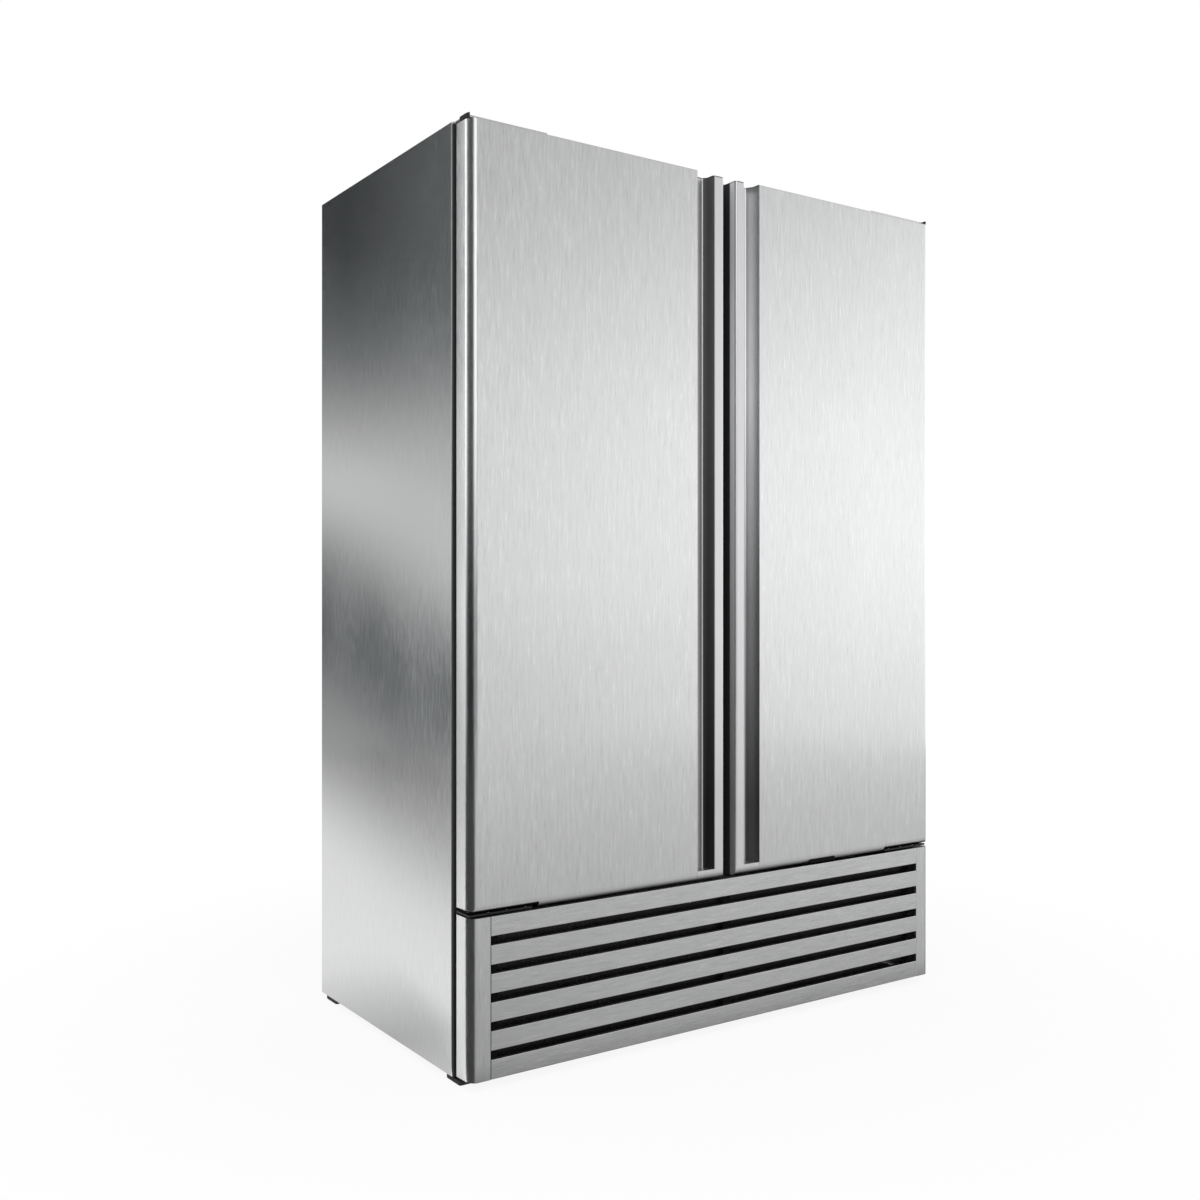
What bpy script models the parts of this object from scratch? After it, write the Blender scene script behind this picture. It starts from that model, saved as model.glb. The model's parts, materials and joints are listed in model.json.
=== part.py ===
"""Two-door reach-in refrigerator, modelled as separate pieces.

Metres, +Z up, origin on the floor under the middle of the cabinet, doors facing -Y.
"""
from math import cos, hypot, pi, radians, sin, tan

import bmesh
import bpy
from mathutils import Matrix, Vector

# Overall sizes
WIDTH = 1.375
DEPTH = 0.778
FOOT_HEIGHT = 0.013
CABINET_HEIGHT = 1.994

# Sheet metal, fits and cutters
SHEET = 0.0012
FIT = 0.0003
CUT_OVER = 0.010
ARC_STEPS = 6
ROUND_STEPS = 24

# Cabinet shell
CASE_BEND = 0.0025
CASE_FLANGE = 0.014
SIDE_WALL = 0.050
BACK_WALL = 0.050
ROOF_WALL = 0.055
FLOOR_WALL = 0.065
LINER_SHEET = 0.0010
MACHINE_HEIGHT = 0.322
MULLION_WIDTH = 0.100
MULLION_DEPTH = 0.060
DECK = 0.003
SILL_SETBACK = 0.030
SILL_OVERLAP = 0.020
DECK_SETBACK = 0.010

# Rear service cover and cord gland
COVER_SETBACK = 0.030
LOUVRE_WIDTH = 0.012
LOUVRE_PITCH = 0.045
LOUVRE_HEIGHT = 0.180
LOUVRES = 22
GLAND_BORE = 0.006
GLAND_NECK = 0.010
GLAND_FLANGE = 0.015
GLAND_FLANGE_DEPTH = 0.006
GLAND_REACH = 0.010
GLAND_FROM_SIDE = 0.070
GLAND_ABOVE_DECK = 0.045

# Levelling feet
FOOT_PAD = 0.060
FOOT_CORNER = 0.004
STEM_RADIUS = 0.006
STEM_ABOVE_DECK = 0.018
FOOT_FROM_SIDE = 0.034
FOOT_FROM_FRONT = 0.008
FOOT_FROM_BACK = 0.050

# Front grille
GRILLE_LIFT = 0.007
SLATS = 6
SLAT = 0.0406
SLOT = 0.0185
SLAT_FLANGE = 0.010
POST_WIDTH = 0.049
POST_SHEET = 0.0015
POST_RETURN = 0.022
GRILLE_SEAM = 0.0008
RIB_WIDTH = 0.020
RIB_DEPTH = 0.004
RIB_BEHIND = 0.005

# Doors
DOOR_THICKNESS = 0.058
SEAL_GAP = 0.0155
DOOR_DROP = 0.0106
DOOR_LIFT = 0.009
MEETING_GAP = 0.040
CORNER_RADIUS = 0.020
ROLL_RADIUS = 0.016
TOP_RADIUS = 0.004
DOOR_LINER = 0.0015
PLUG_RISE = 0.010
PLUG_EDGE = 0.006
GASKET_WIDTH = 0.020
GASKET_FROM_HINGE_SIDE = 0.026
GASKET_FROM_ENDS = 0.010
GASKET_FROM_MEETING = 0.004
PLUG_CLEAR = 0.003

# Pull handle profile along the meeting edge of each door
PULL_WIDTH = 0.0745
PULL_SHEET = 0.002
PULL_TUCK = 0.012
PULL_DEPTH = 0.031
PULL_SLOPE = radians(30)
PULL_COVE = 0.012
LIP_WIDTH = 0.027
LIP_RADIUS = 0.006
PULL_END = 0.018

# Hinges
PIN_FROM_SIDE = 0.020
PIN_FROM_FACE = 0.034
PIN_RADIUS = 0.006
PIN_CLEAR = 0.0005
PIN_REACH = 0.030
WASHER_RADIUS = 0.011
HINGE_PLATE = 0.004
HINGE_FLANGE = 0.004
TOP_HINGE_LENGTH = 0.198
TOP_HINGE_SETBACK = 0.020
TOP_HINGE_FLANGE = 0.014
TOP_HINGE_DROP = 0.001
BOTTOM_HINGE_LENGTH = 0.155
BOTTOM_HINGE_SETBACK = 0.012
BOTTOM_HINGE_FLANGE = 0.024
BOTTOM_HINGE_RISE = 0.0018
HINGE_FROM_SIDE = 0.004
CAP_LENGTH = 0.021
CAP_DEPTH = 0.045

# Stop block under the right door
STOP_LENGTH = 0.080
STOP_DEPTH = 0.018
STOP_HEIGHT = 0.006
STOP_FROM_FACE = 0.006
STOP_FROM_SIDE = 0.325
STOP_KNOB = 0.010

# Condensing unit
COIL_WIDTH = 0.460
COIL_DEPTH = 0.060
COIL_HEIGHT = 0.290
COIL_FROM_CENTRE = 0.330
COIL_BEHIND_FRONT = 0.040
COIL_FINS = 18
COIL_CORE = 0.012
FIN_GAP = 0.012
SHROUD_SHEET = 0.003
FAN_RADIUS = 0.115
FAN_BLADES = 5
FAN_CHORD = 0.070
# Compressor outline from the crown down, as shares of its radius and height
COMPRESSOR_OUTLINE = ((0, 1), (0.55, 0.97), (0.86, 0.86), (0.96, 0.70), (0.96, 0.44), (1, 0.43), (1, 0.39),
                      (0.96, 0.38), (0.94, 0.12), (0.80, 0), (0, 0))
COMPRESSOR_RADIUS = 0.090
COMPRESSOR_HEIGHT = 0.195
COMPRESSOR_X = 0.130
COMPRESSOR_Y = 0.110
COMPRESSOR_BASE_WIDTH = 0.230
COMPRESSOR_BASE_DEPTH = 0.150
COMPRESSOR_BASE_SHEET = 0.004
GROMMET_RADIUS = 0.012
GROMMET_HEIGHT = 0.014
GROMMET_INSET = 0.018
STUB_FROM_AXIS = 0.070
TERMINAL_WIDTH = 0.070
TERMINAL_SHARE = 0.30
TERMINAL_DEPTH = 0.040
TERMINAL_HEIGHT = 0.060
LINE_RADIUS = 0.005
LINE_BEND = 0.025
LINE_RISE = 0.045
LINE_CLEAR_OF_COIL = 0.050
PAN_WIDTH = 0.280
PAN_DEPTH = 0.260
PAN_HEIGHT = 0.050
PAN_SHEET = 0.002
PAN_FROM_SIDE = 0.080
PAN_FROM_COVER = 0.050
CONTROL_WIDTH = 0.240
CONTROL_DEPTH = 0.090
CONTROL_HEIGHT = 0.170
CONTROL_FROM_SIDE = 0.100
CONTROL_BEHIND_FRONT = 0.050
CONTROL_EDGE = 0.004

# Fans
HUB_RADIUS = 0.028
HUB_LENGTH = 0.030
BLADE_SHEET = 0.002
BLADE_ROOT = 0.010
BLADE_PITCH = radians(26)
FAN_STANDOFF = 0.006
FAN_TIP_CLEAR = 0.006
SHAFT_RADIUS = 0.004
SHAFT_REACH = 0.016
MOTOR_RADIUS = 0.038
MOTOR_LENGTH = 0.050
STRAP_HEIGHT = 0.024
STRAP_SHEET = 0.003
STRAP_REACH = 0.018
STRAP_FOOT = 0.010
SHAFT_NECK = 0.012

# Evaporator under the roof
EVAPORATOR_WIDTH = 0.900
EVAPORATOR_DEPTH = 0.340
EVAPORATOR_HEIGHT = 0.215
EVAPORATOR_SHEET = 0.0015
EVAPORATOR_FAN_RADIUS = 0.085
EVAPORATOR_FAN_CHORD = 0.055
EVAPORATOR_COIL_WIDTH = 0.760
EVAPORATOR_COIL_DEPTH = 0.110
EVAPORATOR_COIL_HEIGHT = 0.150
EVAPORATOR_COIL_FROM_BACK = 0.050
EVAPORATOR_COIL_FINS = 24
RETURN_WIDTH = 0.060
RETURN_DEPTH = 0.014
RETURN_PITCH = 0.090
RETURNS = 8
RETURN_FROM_FRONT = 0.120

# Thermostat knob on the evaporator housing
KNOB_RADIUS = 0.022
KNOB_DEPTH = 0.016
KNOB_SKIRT = 0.004
KNOB_TAPER = 0.003
KNOB_GRIP = 0.006
KNOB_GRIP_RISE = 0.006
KNOB_FROM_CENTRE = 0.300
KNOB_SHAFT_TAIL = 0.006

# Inside light
LIGHT_LENGTH = 0.520
LIGHT_DEPTH = 0.036
LIGHT_DROP = 0.020
LIGHT_CHAMFER = 0.010
LIGHT_BEHIND_FRONT = 0.020

# Shelves
SHELF_LEVELS = 3
SHELF_FIRST = 0.300
SHELF_PITCH = 0.330
SHELF_THICKNESS = 0.006
SHELF_BARS = 20
SHELF_BAR = 0.008
SHELF_RIM = 0.012
SHELF_GAP = 0.004
SHELF_APART = 0.016
PILASTER = 0.010
PILASTER_WIDTH = 0.026
PILASTER_ABOVE_FLOOR = 0.060
PILASTER_ABOVE_SHELF = 0.080
PILASTER_FROM_EDGE = 0.070
CLIP_REACH = 0.022
CLIP_HEIGHT = 0.012
CLIP_BITE = 0.004
CENTRE_CLIP_WIDTH = 0.060

# Places that follow from the sizes
SIDE = WIDTH / 2
FRONT = -DEPTH / 2
BACK = DEPTH / 2
BASE = FOOT_HEIGHT
TOP = FOOT_HEIGHT + CABINET_HEIGHT
CASE_FRONT = FRONT + DOOR_THICKNESS + SEAL_GAP
CASE_INSIDE = CASE_FRONT + SHEET + FIT
DOOR_BACK = FRONT + DOOR_THICKNESS
DECK_TOP = BASE + DECK
ON_DECK = DECK_TOP + FIT
MACHINE_TOP = BASE + MACHINE_HEIGHT
GRILLE_BOTTOM = BASE + GRILLE_LIFT
GRILLE_TOP = GRILLE_BOTTOM + SLATS * SLAT + (SLATS - 1) * SLOT
DOOR_BOTTOM = GRILLE_TOP + DOOR_LIFT
DOOR_TOP = TOP - DOOR_DROP
PIN_U = SIDE - PIN_FROM_SIDE
PIN_Y = FRONT + PIN_FROM_FACE
MEETING = MEETING_GAP / 2
FACE_END = MEETING + PULL_WIDTH
TUCKED = SHEET + FIT
MOUTH_SIDE = SIDE - SIDE_WALL - FIT - LINER_SHEET
MOUTH_BOTTOM = MACHINE_TOP + FLOOR_WALL + FIT + LINER_SHEET
MOUTH_TOP = TOP - ROOF_WALL - FIT - LINER_SHEET
MOUTH_BACK = BACK - BACK_WALL - FIT - LINER_SHEET
COVER_Y = BACK - COVER_SETBACK
MULLION_BACK = CASE_INSIDE + MULLION_DEPTH
EVAPORATOR_BACK = MOUTH_BACK - FIT
EVAPORATOR_FRONT = EVAPORATOR_BACK - EVAPORATOR_DEPTH
EVAPORATOR_BOTTOM = MOUTH_TOP - FIT - EVAPORATOR_HEIGHT
SHELF_FRONT = MULLION_BACK + SHELF_GAP
SHELF_BACK = MOUTH_BACK - FIT - PILASTER - SHELF_GAP
SHELF_OUTER = MOUTH_SIDE - FIT - PILASTER - SHELF_GAP
SHELF_INNER = SHELF_APART / 2
SHELF_HEIGHTS = [MOUTH_BOTTOM + SHELF_FIRST + level * SHELF_PITCH for level in range(SHELF_LEVELS)]

TURNS = {"X": (pi / 2, 0, pi / 2), "Y": (pi / 2, 0, 0), "Z": (0, 0, 0)}
SIDES = {"left": -1, "right": 1}

for leftover in list(bpy.data.objects):
    bpy.data.objects.remove(leftover, do_unlink=True)
PARTS = bpy.data.collections.new("reach_in_refrigerator")
CUTTERS = bpy.data.collections.new("cutters")
for group in (PARTS, CUTTERS):
    bpy.context.scene.collection.children.link(group)


def finish(name, colour, roughness, metallic):
    """Plain Principled material."""
    made = bpy.data.materials.new(name)
    made.use_nodes = True
    shader = made.node_tree.nodes["Principled BSDF"]
    shader.inputs["Base Color"].default_value = (*colour, 1)
    shader.inputs["Roughness"].default_value = roughness
    shader.inputs["Metallic"].default_value = metallic
    return made


STEEL = finish("brushed_steel", (0.62, 0.62, 0.61), 0.34, 1.0)
GALVANISED = finish("galvanised_steel", (0.50, 0.51, 0.52), 0.50, 1.0)
ALUMINIUM = finish("aluminium", (0.72, 0.72, 0.73), 0.36, 1.0)
COPPER = finish("copper", (0.62, 0.30, 0.18), 0.32, 1.0)
BLACK_PAINT = finish("black_paint", (0.015, 0.015, 0.016), 0.45, 0.0)
BLACK_PLASTIC = finish("black_plastic", (0.02, 0.02, 0.02), 0.55, 0.0)
RUBBER = finish("rubber", (0.018, 0.018, 0.019), 0.75, 0.0)
FOAM = finish("insulation", (0.80, 0.72, 0.48), 0.90, 0.0)
WHITE_PLASTIC = finish("white_plastic", (0.82, 0.82, 0.80), 0.40, 0.0)
EPOXY = finish("grey_epoxy", (0.55, 0.56, 0.57), 0.42, 0.0)


def place(item, look):
    """Put a piece with its look among the parts, or a shape without one among the cutters."""
    if look is None:
        CUTTERS.objects.link(item)
        item.hide_render = True
        item.display_type = "WIRE"
    else:
        PARTS.objects.link(item)
        item.data.materials.append(look)
    return item


def box(name, low, high, look=None):
    """Block between two corners."""
    mesh = bpy.data.meshes.new(name)
    form = bmesh.new()
    bmesh.ops.create_cube(form, size=1)
    bmesh.ops.scale(form, vec=[b - a for a, b in zip(low, high)], verts=form.verts)
    form.to_mesh(mesh)
    form.free()
    item = bpy.data.objects.new(name, mesh)
    item.location = [(a + b) / 2 for a, b in zip(low, high)]
    return place(item, look)


def cylinder(name, axis, centre, radius, low, high, look=None, steps=ROUND_STEPS):
    """Round bar along an axis; centre gives the two coordinates across it."""
    mesh = bpy.data.meshes.new(name)
    form = bmesh.new()
    bmesh.ops.create_cone(form, cap_ends=True, segments=steps, radius1=radius, radius2=radius,
                          depth=high - low)
    form.to_mesh(mesh)
    form.free()
    mesh.shade_smooth()
    mesh.set_sharp_from_angle(angle=radians(40))
    item = bpy.data.objects.new(name, mesh)
    spot = list(centre)
    spot.insert("XYZ".index(axis), (low + high) / 2)
    item.location = spot
    item.rotation_euler = TURNS[axis]
    return place(item, look)


def as_mesh(name, holder, look):
    """Replace a curve object by its welded mesh."""
    bpy.context.view_layer.update()
    graph = bpy.context.evaluated_depsgraph_get()
    mesh = bpy.data.meshes.new_from_object(holder.evaluated_get(graph))
    mesh.name = name
    mesh.materials.clear()
    form = bmesh.new()
    form.from_mesh(mesh)
    bmesh.ops.remove_doubles(form, verts=form.verts, dist=0.000001)
    bmesh.ops.recalc_face_normals(form, faces=form.faces)
    form.to_mesh(mesh)
    form.free()
    item = bpy.data.objects.new(name, mesh)
    item.matrix_world = holder.matrix_world
    bpy.data.objects.remove(holder, do_unlink=True)
    return place(item, look)


def prism(name, loops, axis, low, high, look=None):
    """Flat outline, with any holes, drawn out along an axis."""
    curve = bpy.data.curves.new(name, "CURVE")
    curve.dimensions = "2D"
    curve.fill_mode = "BOTH"
    curve.extrude = (high - low) / 2
    for loop in loops:
        spline = curve.splines.new("POLY")
        spline.points.add(len(loop) - 1)
        for point, (p, q) in zip(spline.points, loop):
            point.co = (p, q, 0, 1)
        spline.use_cyclic_u = True
    holder = bpy.data.objects.new(name + "_outline", curve)
    CUTTERS.objects.link(holder)
    holder.rotation_euler = TURNS[axis]
    holder.location["XYZ".index(axis)] = (low + high) / 2
    return as_mesh(name, holder, look)


def turned(name, profile, spot, look, turn=TURNS["Z"], steps=ROUND_STEPS):
    """Profile of (radius, height) points, from the top of the axis down, turned about it."""
    mesh = bpy.data.meshes.new(name)
    points = [(radius, 0, height) for radius, height in profile]
    mesh.from_pydata(points, [(i, i + 1) for i in range(len(points) - 1)], [])
    item = bpy.data.objects.new(name, mesh)
    spin = item.modifiers.new("turn", "SCREW")
    spin.steps = spin.render_steps = steps
    spin.use_merge_vertices = True
    spin.merge_threshold = 0.000001
    item.location = spot
    item.rotation_euler = turn
    return place(item, look)


def combine(item, operation, *others):
    """Cut, join or intersect a piece with other shapes."""
    for other in others:
        step = item.modifiers.new(other.name, "BOOLEAN")
        step.operation = operation
        step.object = other
        step.solver = "EXACT"
    return item


def cut(item, *others):
    return combine(item, "DIFFERENCE", *others)


def join(item, *others):
    return combine(item, "UNION", *others)


def arc(centre, radius, start, end, steps=ARC_STEPS):
    """Points of an arc, angles in quarter turns."""
    turns = [start + (end - start) * i / steps for i in range(steps + 1)]
    return [(centre[0] + radius * cos(t * pi / 2), centre[1] + radius * sin(t * pi / 2)) for t in turns]


def offset(path, distance):
    """Open path moved to its left by a distance, with mitred corners."""
    moved = []
    for i, (p, q) in enumerate(path):
        normals = []
        for a, b in ((i - 1, i), (i, i + 1)):
            if a >= 0 and b < len(path):
                run, rise = path[b][0] - path[a][0], path[b][1] - path[a][1]
                normals.append((-rise / hypot(run, rise), run / hypot(run, rise)))
        n, m = [sum(parts) / len(normals) for parts in zip(*normals)]
        reach = distance / (n * n + m * m)
        moved.append((p + n * reach, q + m * reach))
    return moved


def rectangle(low, high):
    return [(low[0], low[1]), (high[0], low[1]), (high[0], high[1]), (low[0], high[1])]


def sided(side, loop):
    """Outline given by distance from the middle plane, put on one side of the cabinet."""
    return [(side * u, y) for u, y in loop]


def span(side, inner, outer):
    """Low and high x of a stretch given by its distances from the middle plane."""
    return sorted((side * inner, side * outer))


def pivot(name, spot):
    """Empty on a joint's axis."""
    empty = bpy.data.objects.new(name, None)
    empty.location = spot
    PARTS.objects.link(empty)
    return empty


def carry(parent, *items):
    """Hang pieces on a pivot and keep them where they are."""
    bpy.context.view_layer.update()
    for item in items:
        item.parent = parent
        item.matrix_parent_inverse = parent.matrix_world.inverted()


def build_cabinet():
    inside = SIDE - SHEET - FIT
    for name, side in SIDES.items():
        bend = arc((SIDE - CASE_BEND, CASE_FRONT + CASE_BEND), CASE_BEND, 0, -1)
        outline = [(SIDE, BACK), *bend, (SIDE - CASE_FLANGE, CASE_FRONT),
                   (SIDE - CASE_FLANGE, CASE_FRONT + SHEET), (SIDE - SHEET, CASE_FRONT + SHEET),
                   (SIDE - SHEET, BACK)]
        prism(f"{name}_side_panel", [sided(side, outline)], "Z", BASE, TOP, STEEL)
    box("top_panel", (-inside, CASE_INSIDE, TOP - SHEET), (inside, BACK - SHEET - FIT, TOP), GALVANISED)
    box("back_panel", (-inside, BACK - SHEET, MACHINE_TOP), (inside, BACK, TOP), GALVANISED)

    foam = box("cabinet_insulation", (-inside, CASE_INSIDE, MACHINE_TOP),
               (inside, BACK - SHEET - FIT, TOP - SHEET - FIT), FOAM)
    cut(foam, box("insulation_hollow",
                  (-(SIDE - SIDE_WALL), CASE_INSIDE - CUT_OVER, MACHINE_TOP + FLOOR_WALL),
                  (SIDE - SIDE_WALL, BACK - BACK_WALL, TOP - ROOF_WALL)))
    tub = box("inner_liner",
              (-MOUTH_SIDE - LINER_SHEET, CASE_INSIDE, MOUTH_BOTTOM - LINER_SHEET),
              (MOUTH_SIDE + LINER_SHEET, MOUTH_BACK + LINER_SHEET, MOUTH_TOP + LINER_SHEET), EPOXY)
    cut(tub, box("liner_hollow", (-MOUTH_SIDE, CASE_INSIDE - CUT_OVER, MOUTH_BOTTOM),
                 (MOUTH_SIDE, MOUTH_BACK, MOUTH_TOP)))

    edge = SIDE - CASE_FLANGE - FIT
    mouths = [rectangle((low, MOUTH_BOTTOM), (high, MOUTH_TOP))
              for low, high in (span(side, MULLION_WIDTH / 2, MOUTH_SIDE) for side in SIDES.values())]
    prism("face_frame", [rectangle((-edge, MACHINE_TOP), (edge, TOP)), *mouths], "Y",
          CASE_FRONT, CASE_FRONT + SHEET, STEEL)
    mullion = box("center_mullion", (-MULLION_WIDTH / 2, CASE_INSIDE, MOUTH_BOTTOM + FIT),
                  (MULLION_WIDTH / 2, MULLION_BACK, MOUTH_TOP - FIT), EPOXY)
    for number, height in enumerate(SHELF_HEIGHTS):
        join(mullion, box(f"mullion_clip_{number}",
                          (-CENTRE_CLIP_WIDTH / 2, MULLION_BACK - CLIP_BITE, height - FIT - CLIP_HEIGHT),
                          (CENTRE_CLIP_WIDTH / 2, MULLION_BACK + CLIP_REACH, height - FIT)))

    sill_top = GRILLE_BOTTOM - FIT
    tray = prism("base_tray",
                 [[(FRONT + SILL_SETBACK, BASE), (BACK - DECK_SETBACK, BASE), (BACK - DECK_SETBACK, DECK_TOP),
                   (CASE_FRONT + SILL_OVERLAP, DECK_TOP), (CASE_FRONT + SILL_OVERLAP, sill_top),
                   (FRONT + SILL_SETBACK, sill_top)]], "X", -edge, edge, GALVANISED)
    for name, side in SIDES.items():
        for end, y in (("front", CASE_FRONT + FOOT_FROM_FRONT), ("rear", BACK - FOOT_FROM_BACK)):
            build_foot(f"{end}_{name}_foot", side * (SIDE - FOOT_FROM_SIDE), y, tray)

    first = -(LOUVRES - 1) * LOUVRE_PITCH / 2
    middle = (ON_DECK + MACHINE_TOP) / 2
    louvres = [rectangle((x - LOUVRE_WIDTH / 2, middle - LOUVRE_HEIGHT / 2),
                         (x + LOUVRE_WIDTH / 2, middle + LOUVRE_HEIGHT / 2))
               for x in (first + number * LOUVRE_PITCH for number in range(LOUVRES))]
    spot = (SIDE - GLAND_FROM_SIDE, DECK_TOP + GLAND_ABOVE_DECK)
    gland_hole = arc(spot, GLAND_NECK + FIT, 0, 4, ROUND_STEPS)[:-1]
    prism("rear_service_cover",
          [rectangle((-inside, ON_DECK), (inside, MACHINE_TOP - FIT)), gland_hole, *louvres], "Y",
          COVER_Y - SHEET, COVER_Y, GALVANISED)
    gland = cylinder("cord_gland", "Y", spot, GLAND_FLANGE, COVER_Y + FIT,
                     COVER_Y + FIT + GLAND_FLANGE_DEPTH, BLACK_PLASTIC)
    join(gland, cylinder("gland_neck", "Y", spot, GLAND_NECK, COVER_Y - SHEET - GLAND_REACH,
                         COVER_Y + GLAND_FLANGE_DEPTH / 2))
    cut(gland, cylinder("gland_bore", "Y", spot, GLAND_BORE, COVER_Y - SHEET - GLAND_REACH - CUT_OVER,
                        COVER_Y + GLAND_FLANGE_DEPTH + CUT_OVER))


def build_foot(name, x, y, tray):
    """Levelling foot whose stem runs up through the tray."""
    half, low = FOOT_PAD / 2 - FOOT_CORNER, -1
    outline = []
    for right, back in ((1, -1), (1, 1), (-1, 1), (-1, -1)):
        outline += arc((x + right * half, y + back * half), FOOT_CORNER, low, low + 1)
        low += 1
    foot = prism(name, [outline], "Z", 0, BASE - FIT, BLACK_PLASTIC)
    join(foot, cylinder(name + "_stem", "Z", (x, y), STEM_RADIUS, (BASE - FIT) / 2, DECK_TOP + STEM_ABOVE_DECK))
    cut(tray, cylinder(name + "_hole", "Z", (x, y), STEM_RADIUS + FIT, BASE - CUT_OVER,
                       GRILLE_BOTTOM + CUT_OVER))


def build_grille():
    end = SIDE - POST_WIDTH - GRILLE_SEAM
    slats = []
    for number in range(SLATS):
        low = GRILLE_BOTTOM + number * (SLAT + SLOT)
        high = low + SLAT
        outline = [(FRONT, low), (FRONT, high), (FRONT + SLAT_FLANGE, high),
                   (FRONT + SLAT_FLANGE, high - SHEET), (FRONT + SHEET, high - SHEET),
                   (FRONT + SHEET, low + SHEET), (FRONT + SLAT_FLANGE, low + SHEET),
                   (FRONT + SLAT_FLANGE, low)]
        slats.append((outline, number))
    first, *others = slats
    panel = prism("grille_panel", [first[0]], "X", -end, end, STEEL)
    ribs = [box(f"grille_rib_{number}", (x - RIB_WIDTH / 2, FRONT + RIB_BEHIND, GRILLE_BOTTOM + SHEET / 2),
                (x + RIB_WIDTH / 2, FRONT + RIB_BEHIND + RIB_DEPTH, GRILLE_TOP - SHEET / 2))
            for number, x in enumerate((-end + RIB_WIDTH, 0, end - RIB_WIDTH))]
    join(panel, *ribs)
    for outline, number in others:
        join(panel, prism(f"grille_slat_{number}", [outline], "X", -end, end))
    foot = prism("grille_foot", [rectangle((FRONT + SHEET / 2, GRILLE_BOTTOM),
                                           (DOOR_BACK, GRILLE_BOTTOM + SHEET))], "X", -end, end)
    join(panel, foot)

    inner = SIDE - POST_WIDTH
    corner = (SIDE - CORNER_RADIUS, FRONT + CORNER_RADIUS)
    outside = [(SIDE, DOOR_BACK), *arc(corner, CORNER_RADIUS, 0, -1), (inner, FRONT)]
    lining = [(inner, FRONT + POST_RETURN), (inner + POST_SHEET, FRONT + POST_RETURN),
              (inner + POST_SHEET, FRONT + POST_SHEET),
              *arc(corner, CORNER_RADIUS - POST_SHEET, -1, 0), (SIDE - POST_SHEET, DOOR_BACK)]
    for name, side in SIDES.items():
        post = prism(f"{name}_grille_post", [sided(side, outside + lining)], "Z", GRILLE_BOTTOM,
                     GRILLE_TOP, STEEL)
        plate = sided(side, outside + [(inner, DOOR_BACK)])
        join(post, prism(f"{name}_post_foot", [plate], "Z", GRILLE_BOTTOM, GRILLE_BOTTOM + POST_SHEET),
             prism(f"{name}_post_head", [plate], "Z", GRILLE_TOP - POST_SHEET, GRILLE_TOP))


def build_hinges():
    inboard = CASE_FRONT - FIT
    for name, side in SIDES.items():
        pin = (side * PIN_U, PIN_Y)
        start = SIDE - HINGE_FROM_SIDE

        low, high = span(side, SIDE - TOP_HINGE_LENGTH, start)
        head = TOP - TOP_HINGE_DROP
        under = head - HINGE_PLATE
        bracket = box(f"{name}_top_hinge", (low, FRONT + TOP_HINGE_SETBACK, under), (high, inboard, head), STEEL)
        join(bracket,
             box(f"{name}_top_hinge_flange", (low, inboard - HINGE_FLANGE, head - TOP_HINGE_FLANGE),
                 (high, inboard, head)),
             cylinder(f"{name}_top_washer", "Z", pin, WASHER_RADIUS, DOOR_TOP + FIT, head - HINGE_PLATE / 2),
             cylinder(f"{name}_top_pin", "Z", pin, PIN_RADIUS, DOOR_TOP - PIN_REACH, head - HINGE_PLATE / 2))

        corner = (SIDE - CORNER_RADIUS, FRONT + CORNER_RADIUS)
        outline = [(SIDE, FRONT + CAP_DEPTH), *arc(corner, CORNER_RADIUS, 0, -1),
                   (SIDE - CAP_LENGTH, FRONT), (SIDE - CAP_LENGTH, FRONT + TOP_HINGE_SETBACK - FIT),
                   (start + FIT, FRONT + TOP_HINGE_SETBACK - FIT), (start + FIT, FRONT + CAP_DEPTH)]
        prism(f"{name}_hinge_cap", [sided(side, outline)], "Z", DOOR_TOP + FIT, TOP, BLACK_PLASTIC)

        low, high = span(side, SIDE - BOTTOM_HINGE_LENGTH, start)
        sole = GRILLE_TOP + BOTTOM_HINGE_RISE
        head = sole + HINGE_PLATE
        bracket = box(f"{name}_bottom_hinge", (low, FRONT + BOTTOM_HINGE_SETBACK, sole), (high, inboard, head),
                      BLACK_PAINT)
        join(bracket,
             box(f"{name}_bottom_hinge_flange", (low, inboard - HINGE_FLANGE, head - BOTTOM_HINGE_FLANGE),
                 (high, inboard, head)),
             cylinder(f"{name}_bottom_washer", "Z", pin, WASHER_RADIUS, sole + HINGE_PLATE / 2, DOOR_BOTTOM - FIT),
             cylinder(f"{name}_bottom_pin", "Z", pin, PIN_RADIUS, sole + HINGE_PLATE / 2,
                      DOOR_BOTTOM + PIN_REACH))


def door_plan(inset, inner, back):
    """Outline of a door seen from above, set in from its outside, from the middle plane's side."""
    corner = (SIDE - CORNER_RADIUS, FRONT + CORNER_RADIUS)
    return [(inner, back), (SIDE - inset, back), *arc(corner, CORNER_RADIUS - inset, 0, -1),
            (inner, FRONT + inset)]


def door_side(inset):
    """Outline of a door seen from the side, open past its back, with rolled front edges."""
    low = arc((FRONT + ROLL_RADIUS, DOOR_BOTTOM + ROLL_RADIUS), ROLL_RADIUS - inset, -1, -2)
    high = arc((FRONT + TOP_RADIUS, DOOR_TOP - TOP_RADIUS), TOP_RADIUS - inset, 2, 1)
    back = DOOR_BACK + CUT_OVER
    return [(back, DOOR_BOTTOM + inset), *low, *high, (back, DOOR_TOP - inset)]


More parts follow.
